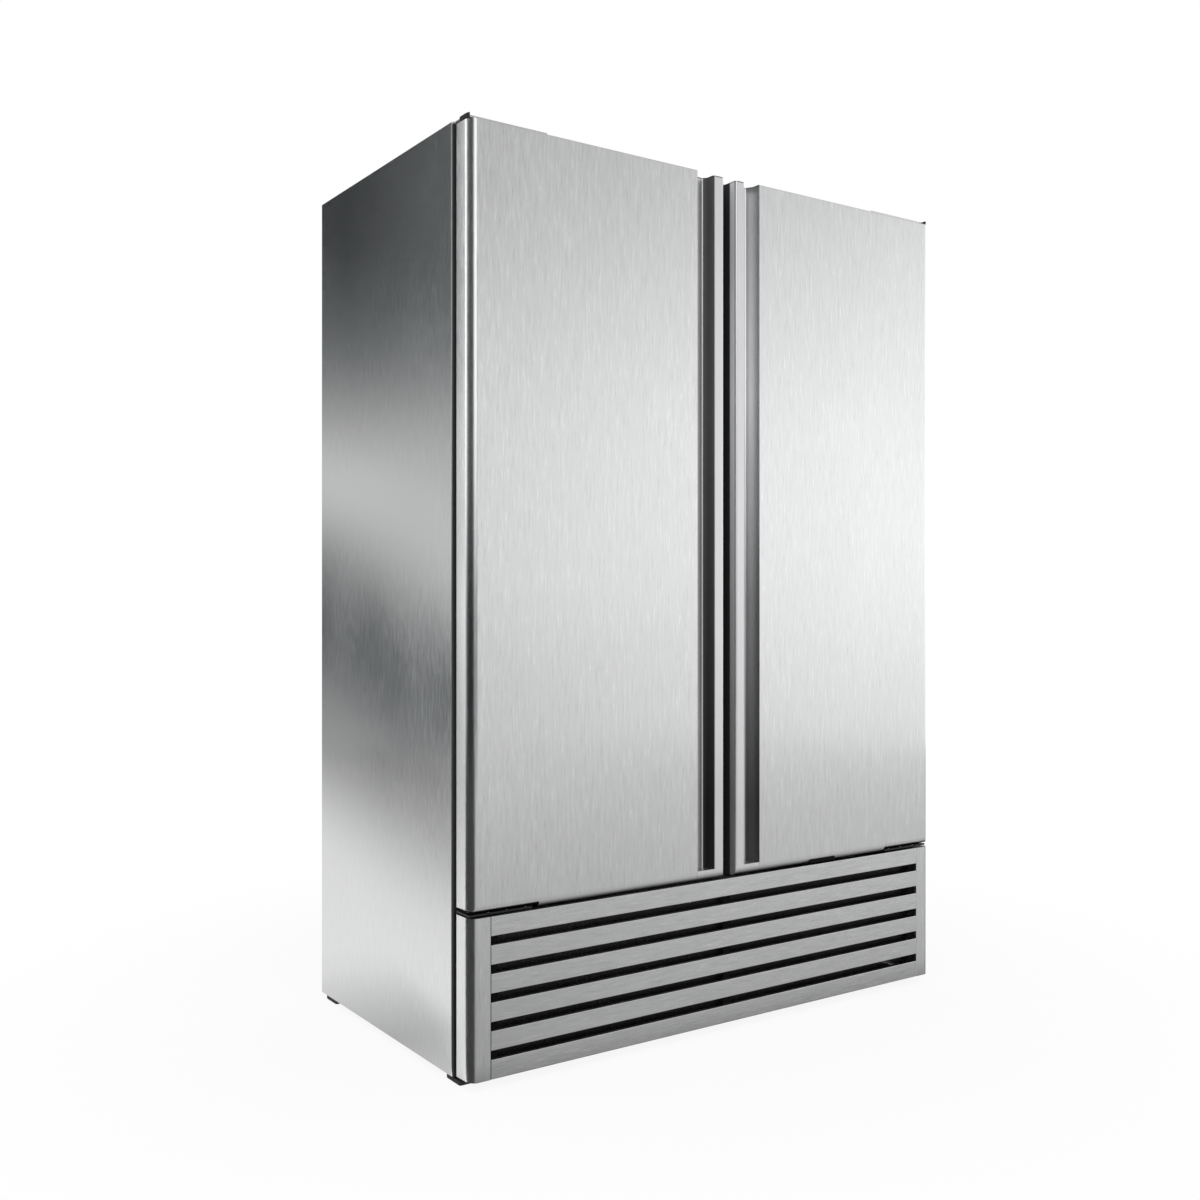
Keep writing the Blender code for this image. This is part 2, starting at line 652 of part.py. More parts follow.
def pull_path():
    """Seen face of the pull profile from above: tuck, sloped wall, cove, lip and meeting edge."""
    lip_inner = MEETING + LIP_WIDTH
    wall_foot = FACE_END - PULL_DEPTH * tan(PULL_SLOPE)
    floor = FRONT + PULL_DEPTH
    cove = arc((lip_inner + PULL_COVE, floor - PULL_COVE), PULL_COVE, 1, 2)
    nose = arc((lip_inner - LIP_RADIUS, FRONT + LIP_RADIUS), LIP_RADIUS, 0, -1)
    edge = arc((MEETING + LIP_RADIUS, FRONT + LIP_RADIUS), LIP_RADIUS, -1, -2)
    return [(FACE_END + PULL_TUCK, FRONT + TUCKED), (FACE_END, FRONT + TUCKED), (wall_foot, floor),
            *cove, *nose, *edge, (MEETING, DOOR_BACK)]


def build_door(name, side):
    x_low, x_high = span(side, MEETING - CUT_OVER, SIDE + CUT_OVER)
    z_low, z_high = DOOR_BOTTOM - CUT_OVER, DOOR_TOP + CUT_OVER
    pin = (side * PIN_U, PIN_Y)
    pin_hole = cylinder(f"{name}_pin_hole", "Z", pin, PIN_RADIUS + PIN_CLEAR, DOOR_BOTTOM - CUT_OVER,
                        DOOR_BOTTOM + PIN_REACH + PIN_CLEAR)
    top_hole = cylinder(f"{name}_top_pin_hole", "Z", pin, PIN_RADIUS + PIN_CLEAR,
                        DOOR_TOP - PIN_REACH - PIN_CLEAR, DOOR_TOP + CUT_OVER)

    outer_side = prism(f"{name}_outer_side", [door_side(0)], "X", x_low, x_high)
    skin_side = prism(f"{name}_skin_side", [door_side(SHEET)], "X", x_low, x_high)
    foam_side = prism(f"{name}_foam_side", [door_side(TUCKED)], "X", x_low, x_high)

    skin = prism(f"{name}_skin", [sided(side, door_plan(0, FACE_END, DOOR_BACK))], "Z", z_low, z_high, STEEL)
    hollow = prism(f"{name}_skin_hollow",
                   [sided(side, door_plan(SHEET, FACE_END - CUT_OVER, DOOR_BACK + CUT_OVER))], "Z",
                   z_low, z_high)
    combine(hollow, "INTERSECT", skin_side)
    combine(skin, "INTERSECT", outer_side)
    cut(skin, hollow, pin_hole, top_hole)

    seen = pull_path()
    hidden = offset(seen, -PULL_SHEET)
    handle = prism(f"{name}_handle", [sided(side, seen + hidden[::-1])], "Z", DOOR_BOTTOM + ROLL_RADIUS,
                   DOOR_TOP - TOP_RADIUS, ALUMINIUM)
    edge = arc((MEETING + LIP_RADIUS, FRONT + LIP_RADIUS), LIP_RADIUS, -1, -2)
    block_back = DOOR_BACK - DOOR_LINER - FIT
    block = [(FACE_END - FIT, FRONT), *edge, (MEETING, block_back), (FACE_END - FIT, block_back)]
    foot = prism(f"{name}_handle_foot", [sided(side, block)], "Z", z_low, DOOR_BOTTOM + PULL_END)
    combine(foot, "INTERSECT", outer_side)
    middle = offset(seen, -PULL_SHEET / 2)
    (wall_u, wall_y), (foot_u, foot_y) = middle[1:3]
    wall_share = (wall_u - FACE_END + FIT) / (wall_u - foot_u)
    lid = [(FACE_END - FIT, wall_y + (foot_y - wall_y) * wall_share), *middle[2:-1],
           (middle[-1][0], block_back), (FACE_END - FIT, block_back)]
    head = prism(f"{name}_handle_head", [sided(side, lid)], "Z", DOOR_TOP - PULL_END,
                 DOOR_TOP - TOP_RADIUS - FIT)
    join(handle, foot, head)

    behind = offset(seen, -PULL_SHEET - FIT)
    foam_back = DOOR_BACK - DOOR_LINER - FIT
    fill_edge = behind[-1][0]
    corner = (SIDE - CORNER_RADIUS, FRONT + CORNER_RADIUS)
    start = FACE_END + PULL_TUCK + FIT
    outline = [(SIDE - TUCKED, foam_back), *arc(corner, CORNER_RADIUS - TUCKED, 0, -1),
               (start, FRONT + TUCKED), (start, behind[0][1]), *behind[1:-1], (fill_edge, foam_back)]
    foam = prism(f"{name}_insulation", [sided(side, outline)], "Z", z_low, z_high, FOAM)
    combine(foam, "INTERSECT", foam_side)
    low, high = span(side, MEETING - CUT_OVER, start)
    cut(foam, pin_hole, top_hole,
        box(f"{name}_foot_room", (low, FRONT - CUT_OVER, z_low), (high, DOOR_BACK, DOOR_BOTTOM + PULL_END + FIT)),
        box(f"{name}_head_room", (low, FRONT - CUT_OVER, DOOR_TOP - PULL_END - FIT), (high, DOOR_BACK, z_high)))

    low, high = span(side, MEETING + PULL_SHEET + FIT, SIDE - TUCKED)
    liner = box(f"{name}_liner", (low, DOOR_BACK - DOOR_LINER, DOOR_BOTTOM + TUCKED),
                (high, DOOR_BACK, DOOR_TOP - TUCKED), WHITE_PLASTIC)
    ring_low, ring_high = span(side, MEETING + GASKET_FROM_MEETING, SIDE - GASKET_FROM_HINGE_SIDE)
    ring_foot, ring_head = DOOR_BOTTOM + GASKET_FROM_ENDS, DOOR_TOP - GASKET_FROM_ENDS
    inside = GASKET_WIDTH + PLUG_CLEAR
    plug = box(f"{name}_liner_plug", (ring_low + inside, DOOR_BACK - DOOR_LINER / 2, ring_foot + inside),
               (ring_high - inside, DOOR_BACK + PLUG_RISE, ring_head - inside))
    round_edges(plug, PLUG_EDGE)
    join(liner, plug)
    gasket = prism(f"{name}_gasket",
                   [rectangle((ring_low, ring_foot), (ring_high, ring_head)),
                    rectangle((ring_low + GASKET_WIDTH, ring_foot + GASKET_WIDTH),
                              (ring_high - GASKET_WIDTH, ring_head - GASKET_WIDTH))], "Y",
                   DOOR_BACK + FIT, CASE_FRONT - FIT, RUBBER)
    pieces = [skin, handle, foam, liner, gasket]
    if name == "right_door":
        pieces.append(build_stop(side))
    carry(pivot(f"{name}_axis", (*pin, DOOR_BOTTOM)), *pieces)


def round_edges(item, width):
    soften = item.modifiers.new("edges", "BEVEL")
    soften.width = width
    soften.segments = 2


def build_stop(side):
    """Stop block with a round nose, fixed under the right door."""
    head = DOOR_BOTTOM - FIT
    y = FRONT + STOP_FROM_FACE
    low, high = span(side, SIDE - STOP_FROM_SIDE - STOP_LENGTH, SIDE - STOP_FROM_SIDE)
    stop = box("right_door_stop", (low, y, head - STOP_HEIGHT), (high, y + STOP_DEPTH, head), BLACK_PLASTIC)
    nose = cylinder("stop_nose", "Z", (high, y + STOP_DEPTH / 2), STOP_KNOB, head - STOP_HEIGHT, head)
    return join(stop, nose)


def comb(low, high, fins):
    """Outline of a finned coil from above, with gaps cut from both faces down to the core."""
    pitch = (high[0] - low[0]) / fins
    cut_depth = (high[1] - low[1] - COIL_CORE) / 2
    front, back = [], []
    for number in range(fins):
        a = low[0] + (number + 0.5) * pitch - FIN_GAP / 2
        b = a + FIN_GAP
        front += [(a, low[1]), (a, low[1] + cut_depth), (b, low[1] + cut_depth), (b, low[1])]
        back += [(a, high[1]), (a, high[1] - cut_depth), (b, high[1] - cut_depth), (b, high[1])]
    return [low, *front, (high[0], low[1]), high, *back[::-1], (low[0], high[1])]


def build_fan(prefix, x, plate_y, z, radius, chord):
    """Motor strapped to the back of a plate, with its fan between the two."""
    hub_front = plate_y + FAN_STANDOFF
    hub_back = hub_front + HUB_LENGTH
    blade = cylinder(f"{prefix}_fan_blade", "Y", (x, z), HUB_RADIUS, hub_front, hub_back, BLACK_PLASTIC)
    middle = Vector((x, (hub_front + hub_back) / 2, z))
    reach = (HUB_RADIUS - BLADE_ROOT, radius)
    for number in range(FAN_BLADES):
        vane = box(f"{prefix}_vane_{number}", (reach[0], -BLADE_SHEET / 2, -chord / 2),
                   (reach[1], BLADE_SHEET / 2, chord / 2))
        vane.matrix_world = (Matrix.Translation(middle) @ Matrix.Rotation(2 * pi * number / FAN_BLADES, 4, "Y")
                             @ Matrix.Translation(vane.location.copy())
                             @ Matrix.Rotation(BLADE_PITCH, 4, "X"))
        join(blade, vane)
    cut(blade, cylinder(f"{prefix}_shaft_hole", "Y", (x, z), SHAFT_RADIUS + FIT, hub_back - SHAFT_REACH - FIT,
                        hub_back + CUT_OVER))
    front = hub_back + SHAFT_NECK
    motor = cylinder(f"{prefix}_fan_motor", "Y", (x, z), MOTOR_RADIUS, front, front + MOTOR_LENGTH, BLACK_PAINT)
    arm = radius + STRAP_REACH
    strap_y = front + MOTOR_LENGTH / 2
    join(motor,
         cylinder(f"{prefix}_shaft", "Y", (x, z), SHAFT_RADIUS, hub_back - SHAFT_REACH, front + MOTOR_LENGTH / 2),
         box(f"{prefix}_strap", (x - arm, strap_y, z - STRAP_HEIGHT / 2),
             (x + arm, strap_y + STRAP_SHEET, z + STRAP_HEIGHT / 2)))
    for number, end in enumerate((x - arm, x + arm - STRAP_FOOT)):
        join(motor, box(f"{prefix}_strap_foot_{number}", (end, plate_y + FIT, z - STRAP_HEIGHT / 2),
                        (end + STRAP_FOOT, strap_y + STRAP_SHEET / 2, z + STRAP_HEIGHT / 2)))
    carry(pivot(f"{prefix}_fan_axis", middle), blade)


def build_condensing_unit():
    x = -COIL_FROM_CENTRE
    front = CASE_FRONT + COIL_BEHIND_FRONT
    back = front + COIL_DEPTH
    low, high = x - COIL_WIDTH / 2, x + COIL_WIDTH / 2
    head = ON_DECK + COIL_HEIGHT
    prism("condenser_coil", [comb((low, front), (high, back), COIL_FINS)], "Z", ON_DECK, head, ALUMINIUM)
    shroud_back = back + FIT + SHROUD_SHEET
    middle = ON_DECK + COIL_HEIGHT / 2
    shroud = box("condenser_fan_shroud", (low, back + FIT, ON_DECK), (high, shroud_back, head), GALVANISED)
    cut(shroud, cylinder("shroud_hole", "Y", (x, middle), FAN_RADIUS + FAN_TIP_CLEAR, back - CUT_OVER,
                         shroud_back + CUT_OVER))
    build_fan("condenser", x, shroud_back, middle, FAN_RADIUS, FAN_CHORD)

    plate_low = ON_DECK + GROMMET_HEIGHT
    spot = (COMPRESSOR_X, COMPRESSOR_Y)
    crown = COMPRESSOR_HEIGHT
    profile = [(COMPRESSOR_RADIUS * wide, crown * tall) for wide, tall in COMPRESSOR_OUTLINE]
    case = turned("compressor", profile, (*spot, plate_low + COMPRESSOR_BASE_SHEET / 2), BLACK_PAINT)
    half = (COMPRESSOR_BASE_WIDTH / 2, COMPRESSOR_BASE_DEPTH / 2)
    join(case, box("compressor_base", (spot[0] - half[0], spot[1] - half[1], plate_low),
                   (spot[0] + half[0], spot[1] + half[1], plate_low + COMPRESSOR_BASE_SHEET)))
    for number, (right, rear) in enumerate(((-1, -1), (1, -1), (1, 1), (-1, 1))):
        at = (spot[0] + right * (half[0] - GROMMET_INSET), spot[1] + rear * (half[1] - GROMMET_INSET))
        join(case, cylinder(f"grommet_{number}", "Z", at, GROMMET_RADIUS, ON_DECK,
                            plate_low + COMPRESSOR_BASE_SHEET / 2))
    terminal = plate_low + crown * TERMINAL_SHARE
    wall = spot[0] + COMPRESSOR_RADIUS
    join(case, box("terminal_cover", (wall - TERMINAL_DEPTH / 2, spot[1] - TERMINAL_WIDTH / 2, terminal),
                   (wall + TERMINAL_DEPTH / 2, spot[1] + TERMINAL_WIDTH / 2, terminal + TERMINAL_HEIGHT)))
    stub = (spot[0] - STUB_FROM_AXIS, spot[1])
    stub_top = plate_low + crown
    join(case, cylinder("discharge_stub", "Z", stub, LINE_RADIUS, plate_low + crown / 2, stub_top))
    run = stub_top + LINE_RISE
    bend_x = high + LINE_CLEAR_OF_COIL
    coil_y = (front + back) / 2
    build_line([(*stub, stub_top + FIT), (*stub, run), (bend_x, stub[1], run), (bend_x, coil_y, run),
                (high + FIT, coil_y, run)])

    pan_back = COVER_Y - SHEET - PAN_FROM_COVER
    pan_right = SIDE - PAN_FROM_SIDE
    pan = box("drain_pan", (pan_right - PAN_WIDTH, pan_back - PAN_DEPTH, ON_DECK),
              (pan_right, pan_back, ON_DECK + PAN_HEIGHT), BLACK_PLASTIC)
    cut(pan, box("pan_hollow", (pan_right - PAN_WIDTH + PAN_SHEET, pan_back - PAN_DEPTH + PAN_SHEET,
                                ON_DECK + PAN_SHEET),
                 (pan_right - PAN_SHEET, pan_back - PAN_SHEET, ON_DECK + PAN_HEIGHT + CUT_OVER)))
    control_right = SIDE - CONTROL_FROM_SIDE
    control_front = CASE_FRONT + CONTROL_BEHIND_FRONT
    control = box("control_box", (control_right - CONTROL_WIDTH, control_front, ON_DECK),
                  (control_right, control_front + CONTROL_DEPTH, ON_DECK + CONTROL_HEIGHT), GALVANISED)
    round_edges(control, CONTROL_EDGE)


def build_line(corners):
    """Refrigerant tube through its corners, each corner bent round."""
    path = [Vector(corners[0])]
    for before, corner, after in zip(corners, corners[1:], corners[2:]):
        here = Vector(corner)
        start = here + (Vector(before) - here).normalized() * LINE_BEND
        end = here + (Vector(after) - here).normalized() * LINE_BEND
        for step in range(ARC_STEPS + 1):
            t = step / ARC_STEPS
            path.append(start * (1 - t) ** 2 + here * 2 * t * (1 - t) + end * t ** 2)
    path.append(Vector(corners[-1]))
    curve = bpy.data.curves.new("refrigerant_line", "CURVE")
    curve.dimensions = "3D"
    curve.bevel_depth = LINE_RADIUS
    curve.bevel_resolution = 2
    curve.use_fill_caps = True
    spline = curve.splines.new("POLY")
    spline.points.add(len(path) - 1)
    for point, spot in zip(spline.points, path):
        point.co = (*spot, 1)
    holder = bpy.data.objects.new("refrigerant_line_path", curve)
    CUTTERS.objects.link(holder)
    as_mesh("refrigerant_line", holder, COPPER)


def build_evaporator():
    half = EVAPORATOR_WIDTH / 2
    head = MOUTH_TOP - FIT
    wall = EVAPORATOR_SHEET
    housing = box("evaporator_housing", (-half, EVAPORATOR_FRONT, EVAPORATOR_BOTTOM),
                  (half, EVAPORATOR_BACK, head), EPOXY)
    cut(housing, box("housing_hollow", (-half + wall, EVAPORATOR_FRONT + wall, EVAPORATOR_BOTTOM + wall),
                     (half - wall, EVAPORATOR_BACK - wall, head + CUT_OVER)))
    middle = (EVAPORATOR_BOTTOM + head) / 2
    through = (EVAPORATOR_FRONT - CUT_OVER, EVAPORATOR_FRONT + wall + CUT_OVER)
    cut(housing, cylinder("housing_fan_hole", "Y", (0, middle), EVAPORATOR_FAN_RADIUS + FAN_TIP_CLEAR, *through))
    for number in range(RETURNS):
        x = (number - (RETURNS - 1) / 2) * RETURN_PITCH
        y = EVAPORATOR_FRONT + RETURN_FROM_FRONT
        cut(housing, box(f"return_slot_{number}", (x - RETURN_WIDTH / 2, y, EVAPORATOR_BOTTOM - CUT_OVER),
                         (x + RETURN_WIDTH / 2, y + RETURN_DEPTH, EVAPORATOR_BOTTOM + wall + CUT_OVER)))
    coil_back = EVAPORATOR_BACK - wall - EVAPORATOR_COIL_FROM_BACK
    floor = EVAPORATOR_BOTTOM + wall + FIT
    reach = EVAPORATOR_COIL_WIDTH / 2
    prism("evaporator_coil",
          [comb((-reach, coil_back - EVAPORATOR_COIL_DEPTH), (reach, coil_back), EVAPORATOR_COIL_FINS)], "Z",
          floor, floor + EVAPORATOR_COIL_HEIGHT, ALUMINIUM)
    build_fan("evaporator", 0, EVAPORATOR_FRONT + wall, middle, EVAPORATOR_FAN_RADIUS, EVAPORATOR_FAN_CHORD)

    knob_x = -KNOB_FROM_CENTRE
    face = EVAPORATOR_FRONT - FIT
    cut(housing, cylinder("knob_hole", "Y", (knob_x, middle), SHAFT_RADIUS + FIT, *through))
    tail = wall + FIT + KNOB_SHAFT_TAIL
    profile = [(0, KNOB_DEPTH), (KNOB_RADIUS - KNOB_SKIRT - KNOB_TAPER, KNOB_DEPTH),
               (KNOB_RADIUS - KNOB_SKIRT, KNOB_SKIRT), (KNOB_RADIUS, KNOB_SKIRT), (KNOB_RADIUS, 0),
               (SHAFT_RADIUS, 0), (SHAFT_RADIUS, -tail), (0, -tail)]
    knob = turned("thermostat_knob", profile, (knob_x, face, middle), BLACK_PLASTIC, TURNS["Y"])
    grip = KNOB_RADIUS - KNOB_SKIRT - KNOB_TAPER
    join(knob, box("knob_grip", (knob_x - KNOB_GRIP / 2, face - KNOB_DEPTH - KNOB_GRIP_RISE, middle - grip),
                   (knob_x + KNOB_GRIP / 2, face - KNOB_DEPTH / 2, middle + grip)))


def build_light():
    front = MULLION_BACK + LIGHT_BEHIND_FRONT
    head, foot = MOUTH_TOP - FIT, MOUTH_TOP - FIT - LIGHT_DROP
    outline = [(front, head), (front + LIGHT_DEPTH, head), (front + LIGHT_DEPTH - LIGHT_CHAMFER, foot),
               (front + LIGHT_CHAMFER, foot)]
    prism("interior_light", [outline], "X", -LIGHT_LENGTH / 2, LIGHT_LENGTH / 2, WHITE_PLASTIC)


def build_shelving():
    foot = MOUTH_BOTTOM + PILASTER_ABOVE_FLOOR
    head = SHELF_HEIGHTS[-1] + PILASTER_ABOVE_SHELF
    places = {"front": SHELF_FRONT + PILASTER_FROM_EDGE, "rear": SHELF_BACK - PILASTER_FROM_EDGE}
    for name, side in SIDES.items():
        outer = MOUTH_SIDE - FIT
        for end, y in places.items():
            low, high = span(side, outer - PILASTER, outer)
            strip = box(f"{name}_{end}_pilaster", (low, y - PILASTER_WIDTH / 2, foot),
                        (high, y + PILASTER_WIDTH / 2, head), EPOXY)
            clip_low, clip_high = span(side, outer - PILASTER - CLIP_REACH, outer - PILASTER + CLIP_BITE)
            for number, height in enumerate(SHELF_HEIGHTS):
                join(strip, box(f"{name}_{end}_clip_{number}",
                                (clip_low, y - PILASTER_WIDTH / 2, height - FIT - CLIP_HEIGHT),
                                (clip_high, y + PILASTER_WIDTH / 2, height - FIT)))
        for number, height in enumerate(SHELF_HEIGHTS):
            build_shelf(f"{name}_shelf_{number + 1}", side, height)
    wall = MOUTH_BACK - FIT
    strip = box("center_rear_pilaster", (-PILASTER_WIDTH / 2, wall - PILASTER, foot),
                (PILASTER_WIDTH / 2, wall, head), EPOXY)
    for number, height in enumerate(SHELF_HEIGHTS):
        join(strip, box(f"center_clip_{number}",
                        (-CENTRE_CLIP_WIDTH / 2, wall - PILASTER - CLIP_REACH, height - FIT - CLIP_HEIGHT),
                        (CENTRE_CLIP_WIDTH / 2, wall - PILASTER + CLIP_BITE, height - FIT)))


def build_shelf(name, side, height):
    """Barred shelf, its bars running from front to back."""
    pitch = (SHELF_OUTER - SHELF_INNER - SHELF_RIM + SHELF_BAR - SHELF_RIM) / SHELF_BARS
    loops = [rectangle((SHELF_INNER, SHELF_FRONT), (SHELF_OUTER, SHELF_BACK))]
    for number in range(SHELF_BARS):
        u = SHELF_INNER + SHELF_RIM + number * pitch
        loops.append(rectangle((u, SHELF_FRONT + SHELF_RIM), (u + pitch - SHELF_BAR, SHELF_BACK - SHELF_RIM)))
    prism(name, [sided(side, loop) for loop in loops], "Z", height, height + SHELF_THICKNESS, EPOXY)


build_cabinet()
build_grille()
build_hinges()
for door, door_side_sign in SIDES.items():
    build_door(f"{door}_door", door_side_sign)
build_condensing_unit()
build_evaporator()
build_light()
build_shelving()
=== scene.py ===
"""Looks of a two-door reach-in refrigerator, built over its packed frame.

Metres, +Z up, doors facing -Y. Sizes that a user would change are in the property groups.
"""

import json
from math import cos, hypot, pi, radians, sin, tan

import bmesh
import bpy
from bpy.props import FloatProperty, FloatVectorProperty, IntProperty, PointerProperty
from bpy.types import Operator, Panel, PropertyGroup
from mathutils import Matrix, Vector

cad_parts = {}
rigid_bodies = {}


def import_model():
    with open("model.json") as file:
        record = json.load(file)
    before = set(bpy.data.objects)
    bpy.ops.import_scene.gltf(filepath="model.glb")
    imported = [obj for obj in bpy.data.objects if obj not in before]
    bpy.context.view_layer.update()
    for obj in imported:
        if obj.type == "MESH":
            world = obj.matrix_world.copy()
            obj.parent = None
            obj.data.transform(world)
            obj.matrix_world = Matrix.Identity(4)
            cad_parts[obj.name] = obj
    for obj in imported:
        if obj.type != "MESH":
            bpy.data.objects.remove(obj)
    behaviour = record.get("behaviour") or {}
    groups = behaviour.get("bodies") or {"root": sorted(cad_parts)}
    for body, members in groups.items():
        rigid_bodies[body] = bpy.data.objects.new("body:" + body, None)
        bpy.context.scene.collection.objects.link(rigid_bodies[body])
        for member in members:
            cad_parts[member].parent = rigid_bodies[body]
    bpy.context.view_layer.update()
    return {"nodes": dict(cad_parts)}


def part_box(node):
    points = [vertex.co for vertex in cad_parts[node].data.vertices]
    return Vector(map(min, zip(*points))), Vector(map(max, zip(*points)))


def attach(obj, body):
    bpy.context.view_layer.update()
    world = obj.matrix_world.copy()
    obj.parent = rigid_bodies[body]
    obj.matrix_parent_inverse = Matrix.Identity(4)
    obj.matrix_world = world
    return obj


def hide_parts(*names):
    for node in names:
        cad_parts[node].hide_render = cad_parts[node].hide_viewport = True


bl_info = {
    "name": "Reach-in refrigerator",
    "version": (1, 0, 0),
    "blender": (4, 5, 0),
    "location": "3D View > Sidebar > Refrigerator",
    "description": "Dresses the packed refrigerator with steel faces, wire shelves "
                   "and its cooling unit",
    "category": "Add Mesh",
}

for leftover in list(bpy.data.objects):
    bpy.data.objects.remove(leftover, do_unlink=True)
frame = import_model()
SIDES = {"left": -1, "right": 1}

# Places read from the frame, for the right-hand side
PANEL_LOW, PANEL_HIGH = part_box("right_side_panel")
SIDE, BACK, TOP = PANEL_HIGH
CASE_FRONT, BASE = PANEL_LOW.y, PANEL_LOW.z
SKIN_LOW, SKIN_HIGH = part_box("right_door_skin")
FACE_END, FRONT, DOOR_BOTTOM = SKIN_LOW
DOOR_BACK, DOOR_TOP = SKIN_HIGH.y, SKIN_HIGH.z
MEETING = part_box("right_door_handle")[0].x
GRILLE_LOW, GRILLE_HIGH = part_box("grille_panel")
POST_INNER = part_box("right_grille_post")[0].x
MOUTH_LOW, MOUTH_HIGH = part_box("inner_liner")
COVER_LOW, COVER_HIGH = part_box("rear_service_cover")

# Small distances
WELD = 0.000002  # points closer than this are one point
TINY = 0.0001  # keeps two faces apart, or tells them apart
GAP = 0.0003  # room between pieces that fit together

# Steps of the doors' rolled edges, and turns in radians up a small dome
ROLL_STEPS, EDGE_STEPS = 14, 8
DOME_TURNS = (0, 0.4, 0.8, 1.2)


def length(name, text, default):
    return FloatProperty(name=name, description=text, default=default, unit="LENGTH", precision=5)


def share(name, text, default):
    return FloatProperty(name=name, description=text, default=default, min=0, soft_max=2)


def tint(name, text, default):
    return FloatVectorProperty(name=name, description=text, default=default, subtype="COLOR",
                               min=0, max=1)


def count(name, text, default):
    return IntProperty(name=name, description=text, default=default, min=1)


class DoorSizes(PropertyGroup):
    """Sizes of the two doors"""
    sheet: length("Sheet", "Thickness of the outer steel", 0.0012)
    corner: length("Outer corner", "Radius of the upright outer corner", 0.020)
    roll: length("Bottom roll", "Radius of the rolled bottom edge", 0.016)
    hang: length("Hem drop", "How far the rolled edge hangs between the hinges", 0.0062)
    hem_end: length("Hem end", "From the middle to the hem's end at the bottom hinge", 0.5205)
    taper: length("Edge taper", "How far the outer edge leans in toward the front", 0.0013)
    bow: share("Corner bow", "Depth of the outer corner over its width", 1.5)
    top_edge: length("Top edge", "Radius of the top edge", 0.004)
    pull_sheet: length("Pull sheet", "Thickness of the pull profile", 0.002)
    pull_tuck: length("Pull tuck", "How far the pull runs under the face", 0.012)
    pull_depth: length("Pull depth", "Depth of the finger recess", 0.031)
    pull_slope: FloatProperty(name="Pull slope", description="Lean of the recess wall",
                              default=radians(30), subtype="ANGLE")
    pull_cove: length("Pull cove", "Radius at the foot of the lip", 0.012)
    lip_width: length("Lip width", "Width of the right pull's lip", 0.027)
    overlap: length("Overlap", "How far the left pull reaches past the right one's line", 0.0050)
    lip_edge: length("Lip edge", "Radius of the lip's meeting edge", 0.006)
    lip_nose: length("Lip nose", "Radius of the right lip's edge over its recess", 0.003)
    # Deeper than this the lip's side is black, as painted shade in the door gap
    lip_return: length("Lip return", "Depth of the lip's side before the black trim", 0.021)
    pull_end: length("Pull end", "Height of the closed foot of the recess", 0.018)
    pull_rim: length("Pull rim", "From the door's top down to the pull's", 0.004)
    gasket: length("Gasket", "Width of the magnetic gasket", 0.020)
    plug_edge: length("Lining edge", "Radius of the raised lining's edge", 0.006)


class CaseSizes(PropertyGroup):
    """Sizes of the cabinet, grille and feet"""
    sheet: length("Sheet", "Thickness of the case steel", 0.0012)
    bend: length("Bend", "Outside radius of a folded edge", 0.0025)
    flange: length("Flange", "Width of the side panel's front flange", 0.014)
    slat_bend: length("Slat bend", "Outside radius of a slat's fold", 0.0016)
    slat_flange: length("Slat flange", "Depth of a slat's fold", 0.010)
    slats: count("Slats", "Number of grille slats", 6)
    slat: length("Slat", "Height of one slat", 0.0406)
    post_sheet: length("Post sheet", "Thickness of the grille posts", 0.0015)
    screen: length("Screen wire", "Thickness of the air filter's wires", 0.0012)
    screen_pitch: length("Screen pitch", "Spacing of the air filter's wires", 0.0032)
    seal: length("Seal", "Thickness of the black strips in the door gaps", 0.0012)
    trim: length("Edge trim", "Width of the black trim on the front edge of the sides", 0.0055)
    louvres: count("Louvres", "Number of louvres in the rear cover", 22)
    louvre_pitch: length("Louvre pitch", "Spacing of the rear louvres", 0.045)
    louvre_rise: length("Louvre rise", "How far a louvre stands out", 0.006)
    bead: length("Bead", "Depth of the pressed field in flat panels", 0.0011)


class CoolingSizes(PropertyGroup):
    """Sizes of the cooling unit"""
    fin: length("Fin", "Thickness of a coil fin", 0.0006)
    fin_pitch: length("Fin pitch", "Spacing of the coil fins", 0.0046)
    tube: length("Tube", "Radius of the coil tubes", 0.0048)
    line: length("Line", "Radius of the refrigerant line", 0.005)
    blades: count("Blades", "Blades of each fan", 5)
    blade: length("Blade", "Thickness of a fan blade", 0.002)
    hub: length("Hub", "Radius of a fan hub", 0.028)
    guard: length("Guard wire", "Radius of the fan guard's wire", 0.0014)


class ShelfSizes(PropertyGroup):
    """Sizes of the shelves and their strips"""
    rim: length("Rim wire", "Radius of the wire round a shelf", 0.003)
    wire: length("Wire", "Radius of a shelf's bars", 0.0017)
    bars: count("Bars", "Bars of one shelf", 25)
    corner: length("Corner", "Radius of a shelf's corner", 0.014)
    slot_pitch: length("Slot pitch", "Spacing of the slots in a strip", 0.0254)


